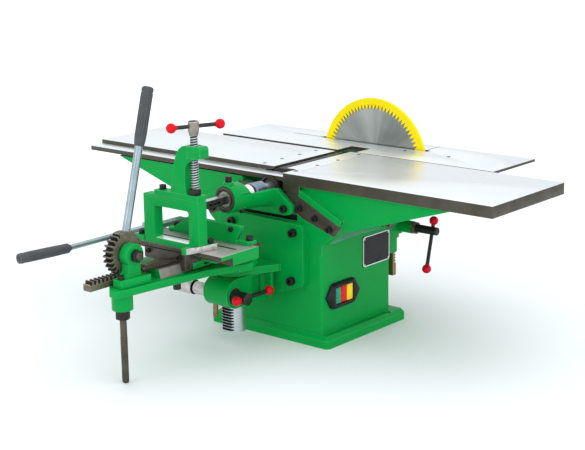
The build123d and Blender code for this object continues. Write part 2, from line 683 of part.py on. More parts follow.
SAW_MODULE = 2.0
SAW_TEETH = 12
SAW_HALF_TOOTH = 1.1
with BuildPart() as saw_table_posts:
    block(POST_X, POST_Y, (92, 346))
    block((-POST_X[1], -POST_X[0]), POST_Y, (150, 346))
    for gap in range(-13, 3):
        gap_z = SAW_PINION_Z + gap * math.pi * SAW_MODULE
        gap_outline = rack_gap(gap_z, POST_Y[1] - SAW_MODULE, -1, SAW_MODULE, SAW_HALF_TOOTH)
        end_prism(gap_outline, (POST_X[0] - 1, POST_X[1] + 1), Mode.SUBTRACT)
save(saw_table_posts, "saw_table_posts")

with BuildPart() as saw_guides:
    block((96, 133), (BODY_Y[1], 156), (178, 236))
    block((96, 130.5), (BODY_Y[1], 152.2), (146, 179))
    block((-133, -96), (BODY_Y[1], 160), (178, 236))
    rod_x((104, 133), SAW_PINION_Y, SAW_PINION_Z, 19)
    rod_x((132, 168), SAW_PINION_Y, SAW_PINION_Z, 14)
    for sign in (1, -1):
        block(sorted((sign * 80, sign * 97)), (BODY_Y[1], GUIDE_FLANGE_Y), (178, 236))
        post_x = sorted((sign * (POST_X[0] - RUNNING), sign * (POST_X[1] + RUNNING)))
        post_y = (POST_Y[0] - RUNNING, POST_Y[1] + RUNNING)
        block(post_x, post_y, (140, 250), Mode.SUBTRACT)
    rod_x((111, 129), SAW_PINION_Y, SAW_PINION_Z, 14.6, Mode.SUBTRACT)
    rod_x((100, 170), SAW_PINION_Y, SAW_PINION_Z, 8 + RUNNING, Mode.SUBTRACT)
    drill(GUIDE_SEATS, 4, 18)
save(saw_guides, "saw_guides")

SAW_BAR_X = 218.0
SAW_BAR_DIR = (0.0, math.sin(math.radians(14)), math.cos(math.radians(14)))


def on_saw_bar(distance):
    """Point on the saw-lift T-bar, measured from the shaft axis."""
    return (SAW_BAR_X, SAW_PINION_Y + distance * SAW_BAR_DIR[1], SAW_PINION_Z + distance * SAW_BAR_DIR[2])


with BuildPart() as saw_lift_pinion:
    rod_x((101, 172), SAW_PINION_Y, SAW_PINION_Z, 8)
    end_prism(
        gear_points((SAW_PINION_Y, SAW_PINION_Z), SAW_MODULE, SAW_TEETH, SAW_HALF_TOOTH, 180),
        (113, 127),
    )
    rod_x((168.1, 178), SAW_PINION_Y, SAW_PINION_Z, 13)
    rod_x((177, 231), SAW_PINION_Y, SAW_PINION_Z, 9)
    rod(on_saw_bar(-30), SAW_BAR_DIR, 60, 4 + RUNNING, Mode.SUBTRACT)
save(saw_lift_pinion, "saw_lift_pinion")

with BuildPart() as saw_lift_bar:
    rod(on_saw_bar(-82), SAW_BAR_DIR, 102, 4)
    ball(on_saw_bar(-84), 10)
    ball(on_saw_bar(22.5), 10)
save(saw_lift_bar, "saw_lift_bar")

# Knee bracket and lift
PIN_Y = -250.0
with BuildPart() as knee_bracket:
    side_prism(
        [
            (-104, 150),
            (-75, 124),
            (-8, 105),
            (37, 105),
            (104, 128),
            (104, 258),
            (-60, 262),
            (-134, 251),
            (-134, 236),
        ],
        (KNEE_FACE_Y, BODY_Y[0]),
        corner=8,
    )
    housing_z = (HOUSING_CENTRE[1] - HOUSING_RADIUS, HOUSING_CENTRE[1] + HOUSING_RADIUS)
    block(HOUSING_X, (HOUSING_CENTRE[0], KNEE_FACE_Y), housing_z)
    rod_x(HOUSING_X, HOUSING_CENTRE[0], HOUSING_CENTRE[1], HOUSING_RADIUS)
    rod_z(SHELF_Z, COLUMN_X, COLUMN_Y, 33)
    top_prism(
        [
            (5, -228),
            (12, -200),
            (42, -146),
            (42, -140),
            (-94, -140),
            (-94, -146),
            (-64, -200),
            (-57, -228),
        ],
        SHELF_Z,
        corner=2,
    )
    for rib_x in ((HOUSING_X[0] - 22, HOUSING_X[0] + 1), (HOUSING_X[1] - 1, 32)):
        block(rib_x, (-161, -154), (104, SHELF_Z[0] + 1))
    block((HOUSING_X[1] - 9, HOUSING_X[1] + 1), (-202, -170), (106, 146), Mode.SUBTRACT)
    rod_z((60, 190), COLUMN_X, COLUMN_Y, COLUMN_RADIUS + RUNNING, Mode.SUBTRACT)
    rod_x((-46, 13), LIFT_AXIS_Y, LIFT_AXIS_Z, 18, Mode.SUBTRACT)
    rod_x((-64, -40), LIFT_AXIS_Y, LIFT_AXIS_Z, 10 + RUNNING, Mode.SUBTRACT)
    rod_z((50, 95 + HOLE_GAP), -46, PIN_Y, 5.5 + HOLE_GAP, Mode.SUBTRACT)
    drill(KNEE_SEATS, 6, 25)
save(knee_bracket, "knee_bracket")

LIFT_MODULE = 2.0
LIFT_TEETH = 15
LIFT_PITCH_Y = LIFT_AXIS_Y + LIFT_MODULE * LIFT_TEETH / 2.0
with BuildPart() as lift_column:
    rod_z((28, BAR_Z[0]), COLUMN_X, COLUMN_Y, COLUMN_RADIUS)
    block((COLUMN_X - 30, COLUMN_X + 30), (-250, LIFT_PITCH_Y - LIFT_MODULE), (20, 172), Mode.SUBTRACT)
    for gap in range(-13, 4):
        gap_z = LIFT_AXIS_Z + gap * math.pi * LIFT_MODULE
        gap_outline = rack_gap(gap_z, LIFT_PITCH_Y, 1, LIFT_MODULE, 1.1)
        end_prism(gap_outline, (COLUMN_X - 30, COLUMN_X + 30), Mode.SUBTRACT)
save(lift_column, "lift_column")

LIFT_BAR_X = 38.0
with BuildPart() as lift_pinion:
    rod_x((-64, -40), LIFT_AXIS_Y, LIFT_AXIS_Z, 10)
    rod_x((-97, -54.5), LIFT_AXIS_Y, LIFT_AXIS_Z, 14)
    rod_x((-102, -97), LIFT_AXIS_Y, LIFT_AXIS_Z, 10)
    rod_x((-145, -102), LIFT_AXIS_Y, LIFT_AXIS_Z, 16)
    end_prism(gear_points((LIFT_AXIS_Y, LIFT_AXIS_Z), LIFT_MODULE, LIFT_TEETH, 1.1, 0), (-44, -8))
    rod_x((-10, -5), LIFT_AXIS_Y, LIFT_AXIS_Z, 11)
    rod_x((-6, 12), LIFT_AXIS_Y, LIFT_AXIS_Z, 18 - RUNNING)
    rod_x((12, 49), LIFT_AXIS_Y, LIFT_AXIS_Z, 13)
    rod_y((-280, -220), LIFT_BAR_X, LIFT_AXIS_Z, 4.5 + RUNNING, Mode.SUBTRACT)
save(lift_pinion, "lift_pinion")

with BuildPart() as lift_bar:
    rod_y((-273, -177), LIFT_BAR_X, LIFT_AXIS_Z, 4.5)
    ball((LIFT_BAR_X, -275.5, LIFT_AXIS_Z), 10)
    ball((LIFT_BAR_X, -175, LIFT_AXIS_Z), 10)
save(lift_bar, "lift_bar")

WAY_BOTTOM_X = (-30.0, 7.0)
WAY_TOP_X = (-25.0, 2.0)
WAY_TOP_Z = 217.5
BAR_OUTLINE = [
    (-18.0, -572.0),
    (5.0, -572.0),
    (18.0, -459.0),
    (36.0, -345.0),
    (45.0, -318.0),
    (66.0, -276.0),
    (68.0, -258.0),
    (44.0, -216.0),
    (20.0, BAR_END_Y),
    (-80.0, BAR_END_Y),
    (-80.0, -300.0),
    (-140.0, -345.0),
    (-140.0, -392.0),
    (-64.0, -445.0),
    (-48.0, -470.0),
    (-48.0, -532.0),
    (-41.0, -550.0),
]
with BuildPart() as slide_bar:
    top_prism(BAR_OUTLINE, BAR_Z, corner=5)
    side_prism(
        [
            (WAY_BOTTOM_X[0], BAR_Z[1] - 1),
            (WAY_BOTTOM_X[0], BAR_Z[1]),
            (WAY_TOP_X[0], WAY_TOP_Z),
            (WAY_TOP_X[1], WAY_TOP_Z),
            (WAY_BOTTOM_X[1], BAR_Z[1]),
            (WAY_BOTTOM_X[1], BAR_Z[1] - 1),
        ],
        (-458, BAR_END_Y),
    )
    rod_z((150, BAR_Z[0] + 1), COLUMN_X, LEG_Y, 21)
    rod_z((148, 197), COLUMN_X, LEG_Y, 7 + THREAD_GAP, Mode.SUBTRACT)
save(slide_bar, "slide_bar")

with BuildPart() as support_leg:
    rod_z((0, 180), COLUMN_X, LEG_Y, 7)
save(support_leg, "support_leg")

with BuildPart() as gear_bracket:
    top_prism([(-24, -556), (0, -556), (7, -482), (-32, -482), (-32, -530)], (BAR_Z[1], 216), corner=3)
    end_prism(
        [(-536, 214), (-494, 214), (-495, 255), (-525, 255), (-526, 226)], (-31, -10)
    )
    rod_x((-31, -10), FEED_AXIS_Y, FEED_AXIS_Z, 23)
    rod_x((-32, 0), FEED_AXIS_Y, FEED_AXIS_Z, 8, Mode.SUBTRACT)
save(gear_bracket, "gear_bracket")

BRACKET_SEATS = [Plane(origin=(-10, -548, 216))]
with BuildPart() as bracket_fasteners:
    rod_x((-57, 5), FEED_AXIS_Y, FEED_AXIS_Z, 8)
    hexagon(Plane(origin=(-10, FEED_AXIS_Y, FEED_AXIS_Z), z_dir=(1, 0, 0)), 23, 10)
    bolt_heads(BRACKET_SEATS, 6.5, 8)
    rod_z((170, BAR_Z[0]), 8, -416, 8)
    hexagon(Plane(origin=(COLUMN_X, LEG_Y, 131)), 25, 19)
    rod_z((128, 151), COLUMN_X, LEG_Y, 7 + THREAD_GAP, Mode.SUBTRACT)
save(bracket_fasteners, "bracket_fasteners")

# Feed gear, rack and lever
FEED_PITCH_RADIUS = FEED_MODULE * FEED_TEETH / 2.0
FEED_PITCH_Z = FEED_AXIS_Z - FEED_PITCH_RADIUS
FEED_HALF_TOOTH = 2.2
LEVER_DIR = (0.0, math.sin(math.radians(LEVER_LEAN)), math.cos(math.radians(LEVER_LEAN)))


def on_lever(distance):
    """Point on the feed lever axis, measured from the gear axis."""
    return (-45.0, FEED_AXIS_Y + distance * LEVER_DIR[1], FEED_AXIS_Z + distance * LEVER_DIR[2])


with BuildPart() as feed_gear:
    end_prism(
        gear_points(
            (FEED_AXIS_Y, FEED_AXIS_Z),
            FEED_MODULE,
            FEED_TEETH,
            FEED_HALF_TOOTH,
            -90.0,
            plain=(40.0, 106.0),
            flank=FEED_FLANK,
        ),
        (-56, -34),
    )
    rod(on_lever(20), LEVER_DIR, 40, 8, Mode.SUBTRACT)
    rod_x((-60, -30), FEED_AXIS_Y, FEED_AXIS_Z, 8 + RUNNING, Mode.SUBTRACT)
save(feed_gear, "feed_gear")

with BuildPart() as feed_lever:
    rod(on_lever(20), LEVER_DIR, 190, 8)
    rod(on_lever(209), LEVER_DIR, 117, 12)
save(feed_lever, "feed_lever")

RACK_X = (-55.0, -35.0)
with BuildPart() as feed_rack:
    block(RACK_X, (-604, -306), (BAR_Z[1] + 0.4, FEED_PITCH_Z + FEED_MODULE))
    for gap in range(-9, 6):
        gap_y = FEED_AXIS_Y + gap * math.pi * FEED_MODULE
        gap_pairs = rack_gap(gap_y, FEED_PITCH_Z, -1, FEED_MODULE, FEED_HALF_TOOTH, FEED_FLANK)
        end_prism([(along, across) for across, along in gap_pairs], (-60, -30), Mode.SUBTRACT)
save(feed_rack, "feed_rack")

# Saddle and cross table
TONGUE_Y = (-372.0, -338.0)
SADDLE_TOP = CROSS_Z[0] - 0.1
with BuildPart() as saddle:
    block(SADDLE_X, (SADDLE_Y[0], SADDLE_STEP_Y), (216, SADDLE_TOP))
    block((-70, SADDLE_X[1]), (SADDLE_Y[0], -378), (203, 217))
    block((-70, SADDLE_X[1] + 1.5), (-378, SADDLE_Y[1]), (203, 217))
    block((SADDLE_X[0], 58), (SADDLE_STEP_Y, SADDLE_Y[1] + 10), (216, SADDLE_TOP))
    top_prism(
        [(-69, -334), (-69, -302), (-131, -240), (-156, -240), (-156, -262), (-92, -334)], (227, 236)
    )
    rod_z((236, 262), FULCRUM[0], FULCRUM[1], 4)
    side_prism(
        [
            (WAY_BOTTOM_X[0] - 0.5, 198),
            (WAY_TOP_X[0] - 0.1, WAY_TOP_Z + 0.1),
            (WAY_TOP_X[1] + 0.1, WAY_TOP_Z + 0.1),
            (WAY_BOTTOM_X[1] + 0.5, 198),
        ],
        (-420, -290),
        Mode.SUBTRACT,
    )
    block(
        (RACK_X[0] - 0.1, RACK_X[1] + 0.1),
        (-420, SADDLE_Y[1] + 30),
        (190, FEED_PITCH_Z + FEED_MODULE + 0.1),
        Mode.SUBTRACT,
    )
    block((-100, 60), (TONGUE_Y[0] - 0.1, TONGUE_Y[1] + 0.1), (225.9, 245), Mode.SUBTRACT)
    block((11, 20), (-347, -331), (207, 212.5), Mode.SUBTRACT)
    rod((SADDLE_X[1] + 1, -391, 211), (-1, 0, 0), 4, 4.5, Mode.SUBTRACT)
save(saddle, "saddle")

FACE_SEATS = [Plane(origin=(face_x, SADDLE_Y[0], 231), z_dir=NEAR) for face_x in (-85, 3)]
with BuildPart() as depth_stop:
    rod((-11.5, -487, 223.5), (0.046, 1, 0), 86.7, 5.5)
    rod((-11.6, -491, 223.5), (0.046, 1, 0), 5, 4)
    bolt_heads(FACE_SEATS, 5, 5)
save(depth_stop, "depth_stop")

with BuildPart() as cross_table:
    block(CROSS_X, CROSS_Y, (PLATE_BOTTOM, CROSS_Z[1]))
    block(CROSS_X, (TONGUE_Y[0], CROSS_Y[1]), (CROSS_Z[0], PLATE_BOTTOM + 1))
    block(CROSS_X, TONGUE_Y, (226, CROSS_Z[0] + 1))
    end_prism(
        [(-372, 243), (-372, 234), (-366, 228), (-360, 226), (CROSS_Y[1], 226), (CROSS_Y[1], 243)],
        (CROSS_X[1] - 9, CROSS_X[1]),
    )
    block((-40, 98), (CROSS_Y[1] - 1, -262), (CROSS_Z[0], 246))
    rod_z((CROSS_Z[1] - 1, 270), PIVOT[0], PIVOT[1], 6)
    block((-128, 100), (-345, -338), (243, 251), Mode.SUBTRACT)
save(cross_table, "cross_table")

with BuildPart() as cross_lever:
    rod_z((CROSS_Z[1] + 0.2, 267), PIVOT[0], PIVOT[1], 12)
    block((PIVOT[0] - 10, PIVOT[0] + 10), (PIVOT[1] + 4, PIVOT[1] + 104), (250.6, 260))
    block((PIVOT[0] - 5.2, PIVOT[0] + 5.2), (PIVOT[1] + 83, PIVOT[1] + 99), (250, 261), Mode.SUBTRACT)
    rod((PIVOT[0], PIVOT[1] - 6, CROSS_LEVER_Z), (-0.139, -1, -0.0484), 194, 5.5)
    rod_z((246, 269), PIVOT[0], PIVOT[1], 6 + RUNNING, Mode.SUBTRACT)
    rod((PIVOT[0] - 26.4, PIVOT[1] - 196, CROSS_LEVER_Z - 9.2), (-0.13, -1, 0.0), 112, 10)
save(cross_lever, "cross_lever")

FRAME_TOP = 458.0
FRAME_OUTLINE = [
    (-16, 360),
    (-12, 370),
    (-8, 387),
    (-5, 404),
    (-1, 422),
    (5, 438),
    (12, 449),
    (21, 456),
    (30, FRAME_TOP),
    (66, FRAME_TOP),
    (70, 454),
    (70, 436),
    (46, 431),
    (34, 424),
    (28, 412),
    (26, 396),
    (27, 376),
    (29, 366),
    (31, 360),
]
with BuildPart() as clamp_arch:
    side_prism(
        [(ARCH_X[0], 250), (ARCH_X[0], ARCH_TOP), (ARCH_X[1], ARCH_TOP), (ARCH_X[1], 250)], ARCH_Y
    )
    side_prism(
        [(-60, SILL_TOP), (-60, 328), (34, 328), (34, SILL_TOP)],
        (ARCH_Y[0] - 1, ARCH_Y[1] + 1),
        Mode.SUBTRACT,
        corner=5,
    )
    top_prism([(43, -438), (54, -435), (64, -399), (73, -363), (45, -363)], (250, 263), corner=3)
    top_prism([(-127, -396), (-120, -402), (-88, -405), (-88, -374), (-122, -374)], (250, 259), corner=4)
save(clamp_arch, "clamp_arch")

PAD_TOP = 361.0
with BuildPart() as clamp_frame:
    block((-58, 60), ARCH_Y, (ARCH_TOP, PAD_TOP))
    side_prism(FRAME_OUTLINE, (-404, -380))
    rod_z((434, FRAME_TOP), CLAMP_X, CLAMP_Y, 15)
    rod_z((420, 470), CLAMP_X, CLAMP_Y, 8 + THREAD_GAP, Mode.SUBTRACT)
save(clamp_frame, "clamp_frame")

with BuildPart() as clamp_pad:
    rod_z((PAD_TOP + 0.4, PAD_TOP + 12), CLAMP_X, CLAMP_Y, 11)
    rod_z((PAD_TOP + 4, PAD_TOP + 13), CLAMP_X, CLAMP_Y, 6 + RUNNING, Mode.SUBTRACT)
save(clamp_pad, "clamp_pad")

CLAMP_DIR = (math.cos(math.radians(CLAMP_BAR_ANGLE)), math.sin(math.radians(CLAMP_BAR_ANGLE)), 0.0)
CLAMP_BAR_Z = 496.0


def on_clamp_bar(distance):
    """Point on the clamp T-bar, measured from the screw axis."""
    return (CLAMP_X + distance * CLAMP_DIR[0], CLAMP_Y + distance * CLAMP_DIR[1], CLAMP_BAR_Z)


with BuildPart() as clamp_screw:
    rod_z((PAD_TOP + 4.1, PAD_TOP + 15), CLAMP_X, CLAMP_Y, 6)
    rod_z((PAD_TOP + 12.2, 481), CLAMP_X, CLAMP_Y, 8)
    rod_z((479, 506), CLAMP_X, CLAMP_Y, 11)
    rod(on_clamp_bar(-20), CLAMP_DIR, 40, 4 + RUNNING, Mode.SUBTRACT)
save(clamp_screw, "clamp_screw")

with BuildPart() as clamp_bar:
    rod(on_clamp_bar(-44), CLAMP_DIR, 98, 4)
    ball(on_clamp_bar(-46), 10)
    ball(on_clamp_bar(56), 10)
save(clamp_bar, "clamp_bar")

FENCE_Y = (-312.0, -301.0)
with BuildPart() as work_fence:
    side_prism(
        [
            (-114, 250),
            (-114, 256),
            (-102, 258),
            (-66, 284),
            (-58, 288),
            (87, 288),
            (84, 276),
            (77, 265),
            (74, 257),
            (74, 250),
        ],
        FENCE_Y,
    )
    block((-118, 104), (FENCE_Y[0] + 2, -284), (250, 258))
save(work_fence, "work_fence")

TABLE_SEATS = [
    Plane(origin=(60, -372, 263)),
    Plane(origin=(-115, -387, 259)),
    Plane(origin=(-46, CLAMP_Y, PAD_TOP)),
    Plane(origin=(95, -296, 258)),
    Plane(origin=(-109, -293, 258)),
]
FENCE_SEATS = [Plane(origin=(61, FENCE_Y[0], 279), z_dir=NEAR)]
with BuildPart() as table_bolts:
    bolt_heads(TABLE_SEATS, 7, 9)
    bolt_heads(FENCE_SEATS, 5.3, 5)
save(table_bolts, "table_bolts")

# Fasteners on the frame
with BuildPart() as machine_bolts:
    socket_bolts(KNEE_SEATS, 9, 11, 6, 25)
    socket_bolts(KEEPER_SEATS, 6.5, 7, 4, 16)
    socket_bolts(HOLDER_SEATS, 8, 9, 5, 26)
    socket_bolts(HOUSING_SEATS, 7.5, 9, 5, 32)
    socket_bolts(GUIDE_SEATS, 6.5, 8, 4, 18)
    socket_bolts(GUARD_SEATS, 5, 5, 3, 10)
    rod_z((SPINDLE_Z + BUSH_RADIUS + 0.2, 357), 0, -251, 5)
    rod_z((356.6, 368.5), 0, -251, 7)
    pinch_seat = PINCH_REACH + 0.02
    rod((pinch_seat * PINCH_DIR[0], -230, SPINDLE_Z + pinch_seat * PINCH_DIR[2]), PINCH_DIR, 5, 7)
    rod_z((61, 95), -46, PIN_Y, 5.5)
save(machine_bolts, "machine_bolts")

# Data plate, switch and cable entry
with BuildPart() as nameplate:
    block((BODY_HALF_X, BODY_HALF_X + 1.2), (12, 106), (141, 208))
    for rivet_y in (17, 101):
        for rivet_z in (146, 203):
            rod_x((BODY_HALF_X + 1.25, BODY_HALF_X + 2.2), rivet_y, rivet_z, 2)
save(nameplate, "nameplate")

SWITCH_FRONT = 152.0
with BuildPart() as switch_bezel:
    end_prism(
        [(-117, 102), (-99, 130), (-23, 130), (-5, 102), (-23, 74), (-99, 74)],
        (BODY_HALF_X, SWITCH_FRONT),
        corner=3,
    )
    block((BODY_HALF_X - 24, BODY_HALF_X + 1), (-99, -23), (80, 124))
    block((128, SWITCH_FRONT + 1), (-91, -31), (84, 120), Mode.SUBTRACT)
save(switch_bezel, "switch_bezel")


def push_button(low_y):
    """Rectangular push button in the switch window."""
    block((136, 149), (low_y, low_y + 19.0), (84.4, 119.6))


with BuildPart() as start_button:
    push_button(-90.6)
save(start_button, "start_button")

with BuildPart() as stop_button:
    push_button(-70.6)
save(stop_button, "stop_button")

with BuildPart() as third_button:
    push_button(-50.6)
save(third_button, "third_button")

with BuildPart() as cable_gland:
    hexagon(Plane(origin=(-BODY_HALF_X, 60, 60), z_dir=(-1, 0, 0)), 24, 8)
    rod_x((-BODY_HALF_X - 20, -BODY_HALF_X + 16), 60, 60, 8)
    rod_x((-BODY_HALF_X - 21, -BODY_HALF_X + 17), 60, 60, 4.5, Mode.SUBTRACT)
save(cable_gland, "cable_gland")
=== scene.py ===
"""Studio picture of a combination saw planer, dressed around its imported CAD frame.

In the machine's frame +X runs along the planer tables, +Y along the spindle towards the saw blade
and +Z up, with the floor at zero. Shapes, patterns and wear are written in millimetres, and the
camera, the floor and the lamps in metres.
"""

from __future__ import annotations

import logging
import math
from dataclasses import dataclass, replace
from enum import Enum
from typing import Any, Callable, Sequence

import bpy
import numpy as np
from mathutils import Matrix, Vector

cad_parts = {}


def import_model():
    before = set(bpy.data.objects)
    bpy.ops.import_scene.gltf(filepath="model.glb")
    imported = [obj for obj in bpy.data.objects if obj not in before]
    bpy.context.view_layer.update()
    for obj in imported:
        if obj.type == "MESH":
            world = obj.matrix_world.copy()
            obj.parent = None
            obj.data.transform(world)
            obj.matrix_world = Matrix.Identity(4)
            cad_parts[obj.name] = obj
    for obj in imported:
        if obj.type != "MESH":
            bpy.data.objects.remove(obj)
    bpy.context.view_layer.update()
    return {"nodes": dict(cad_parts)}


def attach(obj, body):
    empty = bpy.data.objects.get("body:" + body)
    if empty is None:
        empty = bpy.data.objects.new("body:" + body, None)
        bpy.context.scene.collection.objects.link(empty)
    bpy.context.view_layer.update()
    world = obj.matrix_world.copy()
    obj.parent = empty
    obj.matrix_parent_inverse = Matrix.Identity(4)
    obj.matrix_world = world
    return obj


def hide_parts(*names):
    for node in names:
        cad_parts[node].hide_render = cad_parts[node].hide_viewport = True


LOG = logging.getLogger("saw_planer")
MM = 0.001
X, Y, Z = range(3)
UP = (0.0, 0.0, 1.0)
FORWARD = (0.0, -1.0, 0.0)
TURN = 2.0 * math.pi

Array = np.ndarray
Mask = Callable[[Array, Array], Array]
Ripple = Callable[[Array, Array], Array]
Span = tuple[float, float]
Point = tuple[float, float, float]
Profile = Sequence[Span] | Array
Tree = bpy.types.NodeTree
Socket = bpy.types.NodeSocket

# Settings and sockets of nodes that are used more than once
TIMES = {"operation": "MULTIPLY"}
LARGEST = {"operation": "MAXIMUM"}
COLOUR_MIX = {"data_type": "RGBA"}
MIX_SHARE, MIX_UNDER, MIX_OVER, MIX_RESULT = 0, 6, 7, 2
# Coarse and fine patterns of a finish, and the bands that they are read in
PATCH_GRAIN = {"Detail": 5.0, "Roughness": 0.62}
PATCH_BAND = {"From Min": 0.35, "From Max": 0.68, "To Min": 0.0}
MARK_GRAIN = {"Detail": 3.0, "Roughness": 0.55}
DULL_BAND = {"From Min": 0.12, "From Max": 0.4}
COAT_ROUGHNESS = 0.12
# Lighter edges, partly wear and partly painted highlight: cosines between the rounded and the
# flat normal, and how the patches break them up
EDGE_SAMPLES = 4
EDGE_LIGHT_BAND = {"From Min": 0.995, "From Max": 0.86, "To Min": 0.0}
BREAK_BAND = {"From Min": 0.3, "From Max": 0.6, "To Min": 0.35, "To Max": 1.0}
# Painted sheen of a ground disc, standing in for its reflections: wedges in one turn, the band of
# them that shows, and its colour
SPOKES = {"noise_dimensions": "1D", "Scale": 7.0, "Detail": 3.0}
PAINTED_SHEEN_BAND = {"From Min": 0.38, "From Max": 0.7, "To Min": 0.0, "To Max": 0.6}
PAINTED_SHEEN_COLOUR = "#C2C6C2"
# Cosines beyond which a face is level, leans a little or stands across, and a line runs along X
LEVEL = 0.9
LEANING = 0.87
ACROSS = 0.5
NEAR_X = 0.8
# Broken edges of CAD parts: loose points that are joined, faces that count as flat, sharp edges
WELD_MM = 0.01
FLAT_DEG = 1.0
BEVEL_DEG = 32.0
BEVEL_SEGMENTS = 2
# Edges of new pieces that stay sharp: on turned shapes, threads, grips, twists and flat frames
SHARP_DEG = 38.0
THREAD_DEG = 70.0
GRIP_DEG = 60.0
TWIST_DEG = 50.0
BEZEL_DEG = 32.0
RIM_DEG = 30.0
# Points on a ring of a thin rod, a thread, a screw and any other turned shape
ROD_POINTS = 32
THREAD_POINTS = 40
SCREW_POINTS = 36
RING_POINTS = 48
# Room before the first turn of a thread, and the least divisor
SLACK = 0.1
TINY = 1e-6


def linear(hex_colour: str) -> tuple[float, float, float, float]:
    """Turn an sRGB hex colour into linear RGBA.

    Args:
        hex_colour: six digits after a hash sign.

    Returns:
        The linear colour with an alpha of one.
    """
    parts = np.array([int(hex_colour[i : i + 2], 16) for i in (1, 3, 5)]) / 255.0
    values = np.where(parts <= 0.04045, parts / 12.92, ((parts + 0.055) / 1.055) ** 2.4)
    return (*values.tolist(), 1.0)


def add_node(
    tree: Tree, kind: str, settings: dict[Any, Any], links: dict[Any, Socket], out: int | str = 0
) -> Socket:
    """Add one shader node with its settings and links.

    Args:
        tree: the node tree that gets the node.
        kind: the node's type name, after the prefix that all of them share.
        settings: attributes, or input values where the key names no attribute.
        links: input socket to the output socket that feeds it.
        out: which output is handed back.

    Returns:
        The output socket.
    """
    node = tree.nodes.new("ShaderNode" + kind)
    for key, value in settings.items():
        if isinstance(key, str) and hasattr(node, key):
            setattr(node, key, value)
        else:
            node.inputs[key].default_value = value
    for key, source in links.items():
        tree.links.new(source, node.inputs[key])
    return node.outputs[out]


def put(name: str, data: Any) -> bpy.types.Object:
    """Make an object from its data and add it to the scene.

    Args:
        name: the object's name.
        data: its mesh, camera or lamp.

    Returns:
        The object.
    """
    made = bpy.data.objects.new(name, data)
    bpy.context.scene.collection.objects.link(made)
    return made


class Lay(Enum):
    """Which way the marks of a surface run."""

    EVEN = (1.0, 1.0, 1.0)
    ALONG_X = (0.02, 1.0, 1.0)
    ALONG_Y = (1.0, 0.02, 1.0)
    ALONG_Z = (1.0, 1.0, 0.02)


